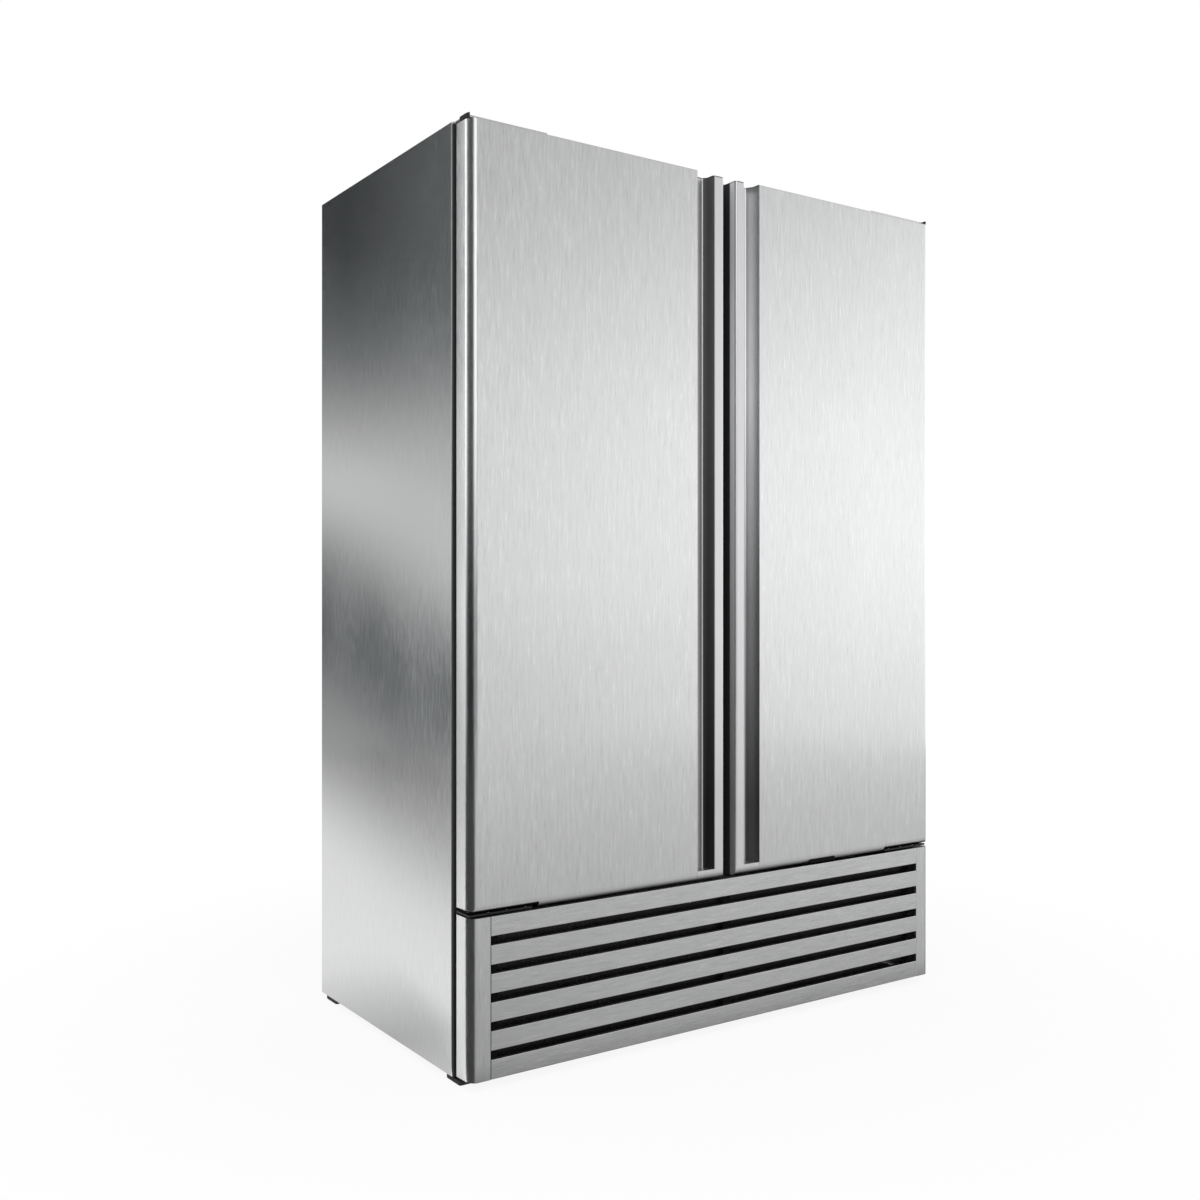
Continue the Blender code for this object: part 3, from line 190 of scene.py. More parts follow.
class Finishes(PropertyGroup):
    """Colours and gloss of the finishes"""
    steel: tint("Steel", "Brushed stainless steel", (0.70, 0.705, 0.705))
    steel_gloss: share("Steel roughness", "Roughness of the brushed steel", 0.21)
    side_gloss: share("Side roughness", "Roughness of the side panels' steel", 0.13)
    galvanised: tint("Galvanised", "Zinc-coated sheet", (0.50, 0.51, 0.52))
    aluminium: tint("Aluminium", "Coil fins and pulls", (0.72, 0.72, 0.73))
    copper: tint("Copper", "Refrigerant tube", (0.62, 0.30, 0.18))
    paint: tint("Black paint", "Painted black metal", (0.015, 0.015, 0.016))
    plastic: tint("Black plastic", "Moulded black plastic", (0.020, 0.020, 0.020))
    rubber: tint("Rubber", "Gaskets and mounts", (0.018, 0.018, 0.019))
    foam: tint("Insulation", "Foamed insulation", (0.80, 0.72, 0.48))
    white: tint("White plastic", "Door lining and light cover", (0.82, 0.82, 0.80))
    epoxy: tint("Grey epoxy", "Coated lining and shelves", (0.55, 0.56, 0.57))


class StageSettings(PropertyGroup):
    """Camera, floor and light"""
    camera: FloatVectorProperty(name="Camera place", description="Where the camera stands",
                                subtype="XYZ", unit="LENGTH", default=(-1.956, -2.7072, 1.0201))
    heading: FloatProperty(name="Camera heading", subtype="ANGLE", default=radians(-34.441),
                           description="Turn of the level camera about the upright")
    lens: FloatProperty(name="Lens", default=38.706,
                        description="Focal length on a 36 mm frame, in millimetres")
    shift: FloatProperty(name="Lens shift", description="Upright shift of the frame",
                         default=-0.00463)
    floor: length("Floor radius", "Size of the round floor", 6.0)
    ambient: share("Soft light", "Level of the light from all round", 0.80)
    key: FloatProperty(name="Key lamp", description="Power of the large soft lamp", default=70,
                       unit="POWER")


# Small mesh helpers

def arc(centre, radius, start, end, steps):
    """Points of an arc, angles in quarter turns."""
    turns = [(start + (end - start) * i / steps) * pi / 2 for i in range(steps + 1)]
    return [(centre[0] + radius * cos(t), centre[1] + radius * sin(t)) for t in turns]


def round_loop(low, high, radius):
    """Loop of a rectangle with round corners."""
    (a, b), (c, d) = low, high
    loop = []
    for p, q, turn in ((c - radius, b + radius, -1), (c - radius, d - radius, 0),
                       (a + radius, d - radius, 1), (a + radius, b + radius, 2)):
        loop += arc((p, q), radius, turn, turn + 1, 6)
    return loop


def rectangle(low, high):
    return [(low[0], low[1]), (high[0], low[1]), (high[0], high[1]), (low[0], high[1])]


def offset(path, distance):
    """Open path moved to its left by a distance, with mitred corners."""
    moved = []
    for i, (p, q) in enumerate(path):
        normals = []
        for a, b in ((i - 1, i), (i, i + 1)):
            if a >= 0 and b < len(path):
                run, rise = path[b][0] - path[a][0], path[b][1] - path[a][1]
                normals.append((-rise / hypot(run, rise), run / hypot(run, rise)))
        n, m = [sum(parts) / len(normals) for parts in zip(*normals)]
        reach = distance / (n * n + m * m)
        moved.append((p + n * reach, q + m * reach))
    return moved


def folded(path, sheet):
    """Closed outline of a sheet whose seen face follows a path."""
    clean = path[:1] + [b for a, b in zip(path, path[1:])
                        if hypot(b[0] - a[0], b[1] - a[1]) > WELD / 2]
    return clean + offset(clean, -sheet)[::-1]


def spot(axis, p, q, height):
    """Point given across an axis and along it."""
    return {"X": (height, p, q), "Y": (p, height, q), "Z": (p, q, height)}[axis]


def facing(place, out):
    """Matrix at a place whose Z axis points outwards."""
    return Matrix.Translation(place) @ Vector(out).to_track_quat("Z", "Y").to_matrix().to_4x4()


def loft(form, rings, closed=True, caps=True, look=0):
    """Skin over a row of rings."""
    rows = [[form.verts.new(point) for point in ring] for ring in rings]
    made = []
    for low, high in zip(rows, rows[1:]):
        for i in range(len(low) if closed else len(low) - 1):
            j = (i + 1) % len(low)
            made.append(form.faces.new((low[i], low[j], high[j], high[i])))
    if caps:
        made += [form.faces.new(rows[0][::-1]), form.faces.new(rows[-1])]
    for face in made:
        face.material_index = look


def bar(form, loop, axis, low, high, look=0):
    """Closed outline drawn out along an axis."""
    loft(form, [[spot(axis, p, q, h) for p, q in loop] for h in (low, high)], look=look)


def upright(form, side, outline, low, high):
    """Plan of a right-hand profile drawn upwards on either side."""
    bar(form, [(side * u, y) for u, y in outline], "Z", low, high)


def block(form, low, high, look=0):
    bar(form, rectangle(low[:2], high[:2]), "Z", low[2], high[2], look)


def slab(form, loops, axis, low, high):
    """Flat plate with holes."""
    levels = []
    for height in (low, high):
        rims, edges = [], []
        for loop in loops:
            rim = [form.verts.new(spot(axis, p, q, height)) for p, q in loop]
            edges += [form.edges.new((rim[i - 1], rim[i])) for i in range(len(rim))]
            rims.append(rim)
        bmesh.ops.triangle_fill(form, use_beauty=True, edges=edges)
        levels.append(rims)
    for low_rim, high_rim in zip(*levels):
        for i in range(len(low_rim)):
            form.faces.new((low_rim[i - 1], low_rim[i], high_rim[i], high_rim[i - 1]))


def lathe(form, profile, place, steps, look=0):
    """Profile of (radius, height) points turned about the Z axis of a place."""
    turns = [2 * pi * i / steps for i in range(steps)]
    loft(form, [[place @ Vector((r * cos(a), r * sin(a), h)) for a in turns] for r, h in profile],
         look=look)


def tube(form, path, radius, sides=8, closed=False, look=0):
    """Round wire along a path."""
    points = [Vector(p) for p in path]
    turns = [2 * pi * s / sides for s in range(sides)]
    rings, normal = [], None
    for i, here in enumerate(points):
        before = points[i - 1] if i or closed else here
        after = points[(i + 1) % len(points)] if i + 1 < len(points) or closed else here
        run = (after - before).normalized()
        normal = run.orthogonal() if normal is None else normal - run * normal.dot(run)
        normal.normalize()
        across = run.cross(normal)
        rings.append([here + (normal * cos(a) + across * sin(a)) * radius for a in turns])
    if closed:
        rings.append(rings[0])
    loft(form, rings, caps=not closed, look=look)


def bent(corners, radius, steps):
    """Path through its corners, each corner bent round."""
    path = [Vector(corners[0])]
    for before, corner, after in zip(corners, corners[1:], corners[2:]):
        here = Vector(corner)
        start = here + (Vector(before) - here).normalized() * radius
        end = here + (Vector(after) - here).normalized() * radius
        for step in range(steps + 1):
            t = step / steps
            path.append(start * (1 - t) ** 2 + here * 2 * t * (1 - t) + end * t ** 2)
    return path + [Vector(corners[-1])]


def screw(form, place, out, radius=0.004, rise=0.0022, look=0):
    """Hexagon screw head on its round flange."""
    seat = facing(place, out)
    flange, collar = radius * 1.5, radius * 1.3
    lathe(form, [(flange, 0), (flange, rise * 0.25), (collar, rise * 0.42)], seat, 24, look)
    lathe(form, [(radius, rise * 0.3), (radius, rise * 0.9), (radius * 0.86, rise)], seat, 6, look)


def pan_head(form, place, out, radius=0.005, rise=0.0014):
    """Low round screw head."""
    dome = [(radius * cos(a), rise * (0.25 + 0.75 * sin(a))) for a in (*DOME_TURNS, 1.45)]
    lathe(form, [(radius, 0), *dome], facing(place, out), 24)


def soften(item, width):
    """Small round on an object's edges, with even shading on its flats."""
    if width:
        edge = item.modifiers.new("edges", "BEVEL")
        edge.width = width
        edge.segments = 2
        edge.limit_method = "ANGLE"
        edge.angle_limit = radians(32)
        edge.harden_normals = True
    even = item.modifiers.new("even shading", "WEIGHTED_NORMAL")
    even.keep_sharp = True


def piece(name, form, looks, body, stands_for=(), edge=0.0, sharp=35):
    """Turn a form into an object that rides on a body."""
    bmesh.ops.remove_doubles(form, verts=form.verts, dist=WELD)
    bmesh.ops.recalc_face_normals(form, faces=form.faces)
    mesh = bpy.data.meshes.new(name)
    form.to_mesh(mesh)
    form.free()
    mesh.shade_smooth()
    mesh.set_sharp_from_angle(angle=radians(sharp))
    for look in looks:
        mesh.materials.append(bpy.data.materials[look])
    item = bpy.data.objects.new(name, mesh)
    bpy.context.scene.collection.objects.link(item)
    soften(item, edge)
    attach(item, body)
    if stands_for:
        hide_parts(*stands_for)
    return item


def carry_over(look, *nodes, edge=0.0):
    """Give frame nodes that stay a finish and soft edges."""
    for node in nodes:
        item = frame["nodes"][node]
        item.data.materials.clear()
        item.data.materials.append(bpy.data.materials[look])
        soften(item, edge)


# Small material helpers

# Middle part of a noise texture's range, where nearly all of it lies
NOISE_LOW, NOISE_HIGH = 0.3, 0.7
# Heights between which the pulls' painted shade and light fade
PULL_SPAN = (0.4, 2.0)


def add(tree, kind, sockets=None, **settings):
    """New node with its sockets set or linked."""
    node = tree.nodes.new("ShaderNode" + kind)
    for key, value in settings.items():
        setattr(node, key, value)
    for key, value in (sockets or {}).items():
        if isinstance(value, bpy.types.NodeSocket):
            tree.links.new(value, node.inputs[key])
        else:
            node.inputs[key].default_value = value
    return node


def maths(tree, operation, *values):
    return add(tree, "Math", dict(enumerate(values)), operation=operation).outputs[0]


def plus(tree, first, second):
    return maths(tree, "ADD", first, second)


def times(tree, first, second):
    return maths(tree, "MULTIPLY", first, second)


def most(tree, first, second):
    return maths(tree, "MAXIMUM", first, second)


def spread(tree, value, low, high, start=NOISE_LOW, end=NOISE_HIGH, kind="LINEAR"):
    """Value mapped from a start and end to a low and high."""
    sockets = {"Value": value, "From Min": start, "From Max": end, "To Min": low, "To Max": high}
    return add(tree, "MapRange", sockets, interpolation_type=kind).outputs["Result"]


def ramp(tree, value, stops):
    """Colour ramp through (place, colour) stops."""
    node = add(tree, "ValToRGB", {"Fac": value})
    elements = node.color_ramp.elements
    while len(elements) < len(stops):
        elements.new(0.5)
    for element, (place, colour) in zip(elements, stops):
        element.position = place
        element.color = (*colour, 1) if hasattr(colour, "__len__") else (colour, colour, colour, 1)
    return node.outputs["Color"]


def object_space(tree):
    return add(tree, "TexCoord").outputs["Object"]


def noise(tree, scale, detail=3.0, rough=0.5):
    """Noise in object space, stretched by a scale for each axis."""
    place = add(tree, "Mapping", {"Vector": object_space(tree), "Scale": scale}).outputs["Vector"]
    sockets = {"Vector": place, "Scale": 1.0, "Detail": detail, "Roughness": rough}
    return add(tree, "TexNoise", sockets).outputs["Fac"]


def surface(name, roughness, metallic=0.0, **sockets):
    """New material with a Principled shader."""
    look = bpy.data.materials.new(name)
    look.use_nodes = True
    shader = look.node_tree.nodes["Principled BSDF"]
    shader.inputs["Roughness"].default_value = roughness
    shader.inputs["Metallic"].default_value = metallic
    for key, value in sockets.items():
        shader.inputs[key.replace("_", " ")].default_value = value
    return look.node_tree, shader


def shaded(colour, factor):
    return [min(1.0, channel * factor) for channel in colour]


def clouded(tree, value, colour, dark, light):
    """A colour that drifts between two shades of it with a noise."""
    return ramp(tree, value, [(NOISE_LOW, shaded(colour, dark)),
                              (NOISE_HIGH, shaded(colour, light))])


def bump(tree, shader, height, distance, strength):
    node = add(tree, "Bump", {"Height": height, "Distance": distance, "Strength": strength})
    tree.links.new(node.outputs["Normal"], shader.inputs["Normal"])


def link(tree, shader, **sockets):
    for key, value in sockets.items():
        tree.links.new(value, shader.inputs[key.replace("_", " ")])


def brushed(name, colour, roughness, along, stretch=0.7, grain=0.5):
    """Stainless sheet with its grain along one axis."""
    tree, shader = surface(name, roughness, 1.0, Anisotropic=stretch,
                           Anisotropic_Rotation=0.0 if along == 2 else 0.25)
    fine, broad = [820.0] * 3, [230.0] * 3
    fine[along], broad[along] = 38.0, 23.0
    hair = noise(tree, fine, 4.0, 0.6)
    band = noise(tree, broad, 3.0, 0.55)
    cloud = noise(tree, (3.0, 3.0, 2.0), 2.0)
    mixed = plus(tree, times(tree, hair, 0.42), times(tree, band, 0.58))
    depth = grain * 1.4
    stops = ((0.30, -0.24), (0.44, -0.035), (0.56, 0.02), (0.70, 0.28))
    tone = ramp(tree, mixed, [(place, shaded(colour, 1 + step * depth)) for place, step in stops])
    gloss = plus(tree, spread(tree, mixed, roughness - 0.04, roughness + 0.04),
                 spread(tree, cloud, -0.02, 0.02))
    tangent = add(tree, "Tangent", direction_type="RADIAL", axis="Z").outputs["Tangent"]
    link(tree, shader, Base_Color=tone, Roughness=gloss, Tangent=tangent)
    bump(tree, shader, mixed, 0.00002, grain)


def faded(tree, tone, fade, low, high):
    """A tone made lighter or darker with the height on the object: painted shade and light."""
    place = add(tree, "SeparateXYZ", {0: object_space(tree)}).outputs
    level = ramp(tree, spread(tree, place["Z"], 0, 1, low, high), fade)
    return add(tree, "VectorMath", {0: tone, 1: level}, operation="MULTIPLY").outputs["Vector"]


def satin(name, colour, roughness, fade=None, span=PULL_SPAN):
    """Drawn metal profile, faintly lined along its length."""
    tree, shader = surface(name, roughness, 1.0)
    line = noise(tree, (420.0, 420.0, 3.0), 3.0)
    cloud = noise(tree, (12.0, 12.0, 5.0), 4.0, 0.6)
    tone = clouded(tree, cloud, colour, 0.95, 1.04)
    gloss = plus(tree, spread(tree, cloud, roughness - 0.03, roughness + 0.03),
                 spread(tree, line, -0.015, 0.015))
    # A fade paints shade and light that change with height
    tone = faded(tree, tone, fade, *span) if fade else tone
    link(tree, shader, Base_Color=tone, Roughness=gloss)
    bump(tree, shader, line, 0.00001, 0.3)


def coated(name, colour, roughness, grain, depth, dirt, fade=None, shine=0.5):
    """Paint, plastic or rubber with a fine skin and some dust."""
    tree, shader = surface(name, roughness, Specular_IOR_Level=shine)
    skin = noise(tree, (grain,) * 3, 2.0)
    cloud = noise(tree, (9.0, 9.0, 6.0), 4.0, 0.6)
    tone = ramp(tree, cloud, [(0.30, shaded(colour, 1 - dirt)), (0.55, colour),
                              (0.80, shaded(colour, 1 + dirt))])
    gloss = plus(tree, spread(tree, cloud, roughness - 0.06, roughness + 0.06),
                 spread(tree, skin, -0.03, 0.03))
    # A fade paints shade and light that change with height
    tone = faded(tree, tone, fade, *PULL_SPAN) if fade else tone
    link(tree, shader, Base_Color=tone, Roughness=gloss)
    bump(tree, shader, skin, depth, 0.4)


def spangled(name, colour, roughness, cells):
    """Zinc coat with its crystal pattern."""
    tree, shader = surface(name, roughness, 1.0)
    sockets = {"Vector": object_space(tree), "Scale": cells}
    crystal = add(tree, "TexVoronoi", sockets, feature="F1").outputs["Color"]
    grey = add(tree, "SeparateColor", {"Color": crystal}).outputs["Red"]
    cloud = noise(tree, (7.0, 7.0, 5.0), 4.0, 0.6)
    mixed = plus(tree, times(tree, grey, 0.7), times(tree, cloud, 0.3))
    dull, bright = 0.15, 0.85
    tone = ramp(tree, mixed, [(dull, shaded(colour, 0.74)), (0.5, colour),
                              (bright, shaded(colour, 1.22))])
    gloss = spread(tree, mixed, roughness + 0.12, roughness - 0.12, dull, bright)
    link(tree, shader, Base_Color=tone, Roughness=gloss)
    bump(tree, shader, cloud, 0.0002, 0.2)


class REFRIGERATOR_OT_finishes(Operator):
    """Make the finishes of the refrigerator"""
    bl_idname = "refrigerator.finishes"
    bl_label = "Finishes"

    def execute(self, context):
        f = context.scene.refrigerator_finishes
        brushed("brushed_upright", f.steel, f.steel_gloss, 2)
        # Steel with its grain along X for the slats and top hinges, painted darker than the doors'
        # steel as painted shade
        brushed("brushed_level_painted_shade", shaded(f.steel, 0.87), f.steel_gloss + 0.05, 0)
        brushed("brushed_side", f.steel, f.side_gloss, 2, 0.3, 0.25)
        satin("satin_aluminium", f.aluminium, 0.36)
        # Steel of the rolled bottom edges, with painted shade that darkens it towards the bottom
        satin("roll_painted_shade", f.steel, 0.38, [(0.0, 0.12), (0.5, 0.5), (1.0, 0.96)],
              (0.3590, 0.3735))
        # Pull's recess wall with painted shade low down and a painted highlight higher up
        satin("wall_painted_shading", f.aluminium, 0.36,
              [(0.078, 0.2), (0.379, 0.65), (0.679, 1.38), (0.95, 1.03)])
        spangled("galvanised", f.galvanised, 0.42, 70.0)
        spangled("zinc", shaded(f.galvanised, 1.15), 0.30, 260.0)
        coated("black_paint", f.paint, 0.40, 900.0, 0.00006, 0.3)
        coated("black_plastic", f.plastic, 0.50, 1600.0, 0.00005, 0.3)
        # Dark grey on the recess floor as painted shade, darker still towards the bottom
        coated("cove_painted_shade", shaded(f.plastic, 3.0), 0.5, 1200.0, 0.00004, 0.15,
               [(0.078, 0.2), (0.379, 0.7), (0.679, 1.0)], 0.25)
        # Grey lip side with painted shade low down and painted light higher up
        coated("lip_side_painted_shading", f.epoxy, 0.36, 800.0, 0.00006, 0.05,
               [(0.078, 0.36), (0.379, 0.75), (0.679, 1.2), (0.95, 1.0)])
        # Flat black with little gloss: the stop's own colour, and painted shade on the door faces
        # over the bottom hinges and on the grille's ribs
        coated("flat_black_and_painted_shade", shaded(f.paint, 0.3), 0.8, 700.0, 0.00004, 0.3, shine=0.08)
        coated("rubber", f.rubber, 0.68, 700.0, 0.00005, 0.35)
        coated("white_plastic", f.white, 0.38, 1200.0, 0.00003, 0.03)
        coated("grey_epoxy", f.epoxy, 0.36, 800.0, 0.00006, 0.05)
        self.foam(f.foam)
        self.fins(f.aluminium)
        self.copper(f.copper)
        self.light_cover(f.white)
        return {"FINISHED"}

    def foam(self, colour):
        tree, shader = surface("insulation", 0.9)
        cells = add(tree, "TexVoronoi", {"Vector": object_space(tree), "Scale": 700.0})
        cloud = noise(tree, (14.0, 14.0, 14.0), 4.0)
        link(tree, shader, Base_Color=clouded(tree, cloud, colour, 0.82, 1.05))
        bump(tree, shader, cells.outputs["Distance"], 0.0006, 0.6)

    def fins(self, colour):
        tree, shader = surface("aluminium", 0.34, 1.0)
        cloud = noise(tree, (40.0, 40.0, 12.0), 4.0, 0.6)
        tone = clouded(tree, cloud, colour, 0.78, 1.04)
        link(tree, shader, Base_Color=tone, Roughness=spread(tree, cloud, 0.44, 0.28))

    def copper(self, colour):
        tree, shader = surface("copper", 0.30, 1.0)
        cloud = noise(tree, (60.0, 60.0, 60.0), 5.0, 0.65)
        tone = ramp(tree, cloud, [(0.30, shaded(colour, 0.55)), (0.55, colour),
                                  (0.80, shaded(colour, 1.12))])
        link(tree, shader, Base_Color=tone, Roughness=spread(tree, cloud, 0.48, 0.22))

    def light_cover(self, colour):
        tree, shader = surface("light_cover", 0.32, Transmission_Weight=0.25, IOR=1.49)
        skin = noise(tree, (500.0, 500.0, 500.0), 2.0)
        link(tree, shader, Base_Color=clouded(tree, skin, colour, 0.97, 1.03))
        bump(tree, shader, skin, 0.0001, 0.4)


class REFRIGERATOR_OT_stage(Operator):
    """Camera, floor, backdrop and lamp"""
    bl_idname = "refrigerator.stage"
    bl_label = "Stage"

    # What the steel sees of the floor: (place, level) stops
    near_floor = [(0, 0.22), (0.028, 0.49), (0.14, 0.57), (0.30, 0.65), (0.43, 0.71),
                  (0.64, 0.78), (1, 0.84)]
    near_turn = [(0.13, 0.05), (0.165, 0.45), (0.19, 0.75), (0.30, 0.78), (0.361, 0.84),
                 (0.389, 0.89), (0.422, 0.98), (0.5, 1.0), (0.852, 1.0), (0.862, 0.1)]
    rear_floor = [(0, 0.55), (0.017, 0.68), (0.034, 0.82), (0.05, 0.95), (0.07, 1.0),
                  (0.2, 0.95), (0.3, 0.84), (0.445, 0.66), (0.65, 0.45), (1, 0.28)]
    rear_turn = [(0.55, 0.0), (0.72, 1.0), (0.838, 1.0), (0.850, 0.0)]
    # The narrow lamp along the left side, on the floor and above it
    strip_lamp = [(0.8375, 0.0), (0.842, 1.0), (0.848, 1.0), (0.855, 0.0)]
    # What the steel sees of the backdrop, with the height and with the turn
    rear_card = [(0.055, 0.43), (0.1125, 0.24), (0.1725, 0.13), (0.232, 0.11), (0.292, 0.25),
                 (0.352, 0.50), (0.412, 0.71), (0.472, 0.71), (0.531, 0.54), (0.590, 0.36),
                 (0.648, 0.20), (0.7045, 0.12), (0.760, 0.07), (0.815, 0.04), (0.869, 0.03)]
    front_card = [(0.045, 0.84), (0.107, 0.90), (0.169, 0.95), (0.231, 1.0), (0.45, 1.0),
                  (0.536, 0.94), (0.653, 0.85), (0.764, 0.74), (0.82, 0.66)]
    behind_turn = [(0.55, 0.0), (0.68, 1.0), (0.812, 1.0), (0.832, 0.86), (0.845, 0.86),
                   (0.856, 0.0)]
    before_turn = [(0.235, 0.0), (0.30, 1.0), (0.55, 1.0), (0.68, 0.0)]
    lamp_turn = [(0.0, 0.06), (0.05, 0.06), (0.085, 0.08), (0.11, 0.3), (0.135, 0.8),
                 (0.16, 0.95), (0.30, 0.95), (0.832, 0.5), (0.845, 0.5), (0.858, 1.5),
                 (0.884, 1.5), (0.902, 0.4), (0.925, 0.1), (1.0, 0.06)]
    cool_shade = [(0.04, (0.92, 1.0, 1.04)), (0.40, (1.0, 1.0, 1.0))]
    white = (1, 1, 1, 1)

    def execute(self, context):
        s = context.scene.refrigerator_stage
        scene = context.scene
        scene.view_settings.view_transform = "Standard"
        camera = bpy.data.objects.new("camera", bpy.data.cameras.new("camera"))
        camera.data.sensor_width = 36
        camera.data.lens = s.lens
        camera.data.shift_y = s.shift
        camera.location = s.camera
        camera.rotation_euler = (pi / 2, 0, s.heading)
        scene.collection.objects.link(camera)
        scene.camera = camera

        lamp = bpy.data.lights.new("key", "AREA")
        lamp.energy = s.key
        lamp.shape = "RECTANGLE"
        lamp.size, lamp.size_y = 3.0, 2.5
        key = bpy.data.objects.new("key", lamp)
        key.location = (-1.5, -3.0, 4.2)
        aim = Vector((0, 0, 1)) - key.location
        key.rotation_euler = aim.to_track_quat("-Z", "Y").to_euler()
        key.visible_glossy = False
        scene.collection.objects.link(key)
        self.floor(s)
        self.backdrop(s)
        return {"FINISHED"}

    def floor(self, s):
        """Pale round floor that keeps the shadow; the steel sees it darker in places."""
        form = bmesh.new()
        bmesh.ops.create_circle(form, cap_ends=True, segments=96, radius=s.floor)
        mesh = bpy.data.meshes.new("floor")
        form.to_mesh(mesh)
        form.free()
        item = bpy.data.objects.new("floor", mesh)
        item.location.z = -0.0004
        bpy.context.scene.collection.objects.link(item)
        look = bpy.data.materials.new("pale_floor")
        look.use_nodes = True
        tree = look.node_tree
        tree.nodes.clear()
        ray = add(tree, "LightPath").outputs
        spot_on_floor = add(tree, "NewGeometry").outputs["Position"]
        place = add(tree, "SeparateXYZ", {0: spot_on_floor}).outputs
        across = plus(tree, place["X"], SIDE)
        ahead = maths(tree, "SUBTRACT", place["Y"], FRONT)
        angle = maths(tree, "ARCTAN2", ahead, across)
        turn = spread(tree, angle, 0, 1, -pi, pi)
        near = ramp(tree, spread(tree, ahead, 0, 1, 0, -5), self.near_floor)
        near = times(tree, near, ramp(tree, turn, self.near_turn))
        reach = maths(tree, "SQRT", plus(tree, times(tree, across, across),
                                         times(tree, place["Y"], place["Y"])))
        reach = times(tree, reach, spread(tree, angle, 0.5, 2.1, 1.864, 2.134))
        rear = ramp(tree, spread(tree, reach, 0, 1, 0, 6), self.rear_floor)
        rear = times(tree, rear, ramp(tree, turn, self.rear_turn))
        level = most(tree, times(tree, near, 1.12), most(tree, rear, 0.06))
        streak = ramp(tree, turn, self.strip_lamp)
        level = most(tree, level, times(tree, streak, 2.6))
        level = add(tree, "Mix", {0: ray["Is Glossy Ray"], 2: 1.0, 3: level}).outputs[0]
        glow = add(tree, "Emission", {"Color": self.white, "Strength": level})
        matte = add(tree, "BsdfDiffuse", {"Color": (0.86, 0.86, 0.86, 1)})
        away = add(tree, "VectorMath", {0: spot_on_floor}, operation="LENGTH").outputs["Value"]
        far = spread(tree, away, 0.9, 1.0, 0.8, 2.0, "SMOOTHSTEP")
        bright = times(tree, ray["Is Camera Ray"], far)
        seen = most(tree, bright, most(tree, ray["Is Glossy Ray"], ray["Is Transmission Ray"]))
        mixed = add(tree, "MixShader", {0: seen, 1: matte.outputs[0], 2: glow.outputs[0]})
        add(tree, "OutputMaterial", {"Surface": mixed.outputs[0]})
        mesh.materials.append(look)

    def backdrop(self, s):
        """White backdrop with cards that give the steel its bands, and plain light for the rest."""
        world = bpy.data.worlds.new("backdrop")
        bpy.context.scene.world = world
        world.use_nodes = True
        tree = world.node_tree
        tree.nodes.clear()
        ray = add(tree, "LightPath").outputs
        way = add(tree, "SeparateXYZ", {0: add(tree, "TexCoord").outputs["Generated"]}).outputs
        turn = spread(tree, maths(tree, "ARCTAN2", way["Y"], way["X"]), 0, 1, -pi, pi)
        lean = times(tree, plus(tree, way["X"], 0.426),
                     spread(tree, way["Z"], 0.75, 0.05, 0.03, 0.13))
        tilted = maths(tree, "SUBTRACT", way["Z"], lean)
        rear = ramp(tree, spread(tree, tilted, 0, 1, -0.16, 0.35), self.rear_card)
        ahead = ramp(tree, spread(tree, way["Z"], 0, 1, -0.1, 0.4), self.front_card)
        ahead = times(tree, ahead, spread(tree, way["X"], 0.35, 1.35, 0.084, 0.825))
        behind = ramp(tree, turn, self.behind_turn)
        before = ramp(tree, turn, self.before_turn)
        lamps = ramp(tree, turn, self.lamp_turn)
        lamps = times(tree, lamps, spread(tree, way["Z"], 0.35, 1.5, -0.03, 0.12, "SMOOTHSTEP"))
        low_lamp = ramp(tree, turn, self.strip_lamp)
        low_lamp = times(tree, low_lamp, spread(tree, way["Z"], 2.0, 0.0, 0.0, 0.07))
        cards = plus(tree, times(tree, rear, behind),
                     times(tree, times(tree, ahead, 1.07), before))
        rest = maths(tree, "SUBTRACT", 1.0, most(tree, behind, before))
        cards = plus(tree, cards, times(tree, lamps, rest))
        cards = plus(tree, cards, low_lamp)
        sheen = add(tree, "Mix", {0: ray["Is Glossy Ray"], 2: 1.0, 3: cards}).outputs[0]
        seen = most(tree, ray["Is Camera Ray"],
                    most(tree, ray["Is Glossy Ray"], ray["Is Transmission Ray"]))
        plain = add(tree, "Background", {"Color": self.white, "Strength": s.ambient})
        cast = ramp(tree, sheen, self.cool_shade)
        shown = add(tree, "Background", {"Color": cast, "Strength": sheen})
        mixed = add(tree, "MixShader", {0: seen, 1: plain.outputs[0], 2: shown.outputs[0]})
        add(tree, "OutputWorld", {"Surface": mixed.outputs[0]})


def door_levels(d):
    """Heights up a door with how far its front edge sits back there."""
    roll = [i / ROLL_STEPS * pi / 2 for i in range(ROLL_STEPS + 1)]
    edge = [i / EDGE_STEPS * pi / 2 for i in range(EDGE_STEPS + 1)]
    return [(DOOR_BOTTOM + d.roll * (1 - cos(a)), d.roll * (1 - sin(a))) for a in roll] + [
        (DOOR_TOP - d.top_edge * (1 - sin(a)), d.top_edge * (1 - cos(a))) for a in edge]


def outer_corner(d, inset=0.0):
    """Outer front corner of a door or post, from its side to its front."""
    wide = d.corner * 0.87
    turned = arc((SIDE - wide - d.taper, 0), wide - inset, -0.022, -1, 18)
    return [(u, FRONT + wide * d.bow + y * d.bow) for u, y in turned]


def hem(z, u, d):
    """Height of a point on the rolled edge, which hangs lower between the hinges."""
    rise = DOOR_BOTTOM + d.roll - z
    return z - d.hang * rise / d.roll if rise > 0 and u <= d.hem_end else z


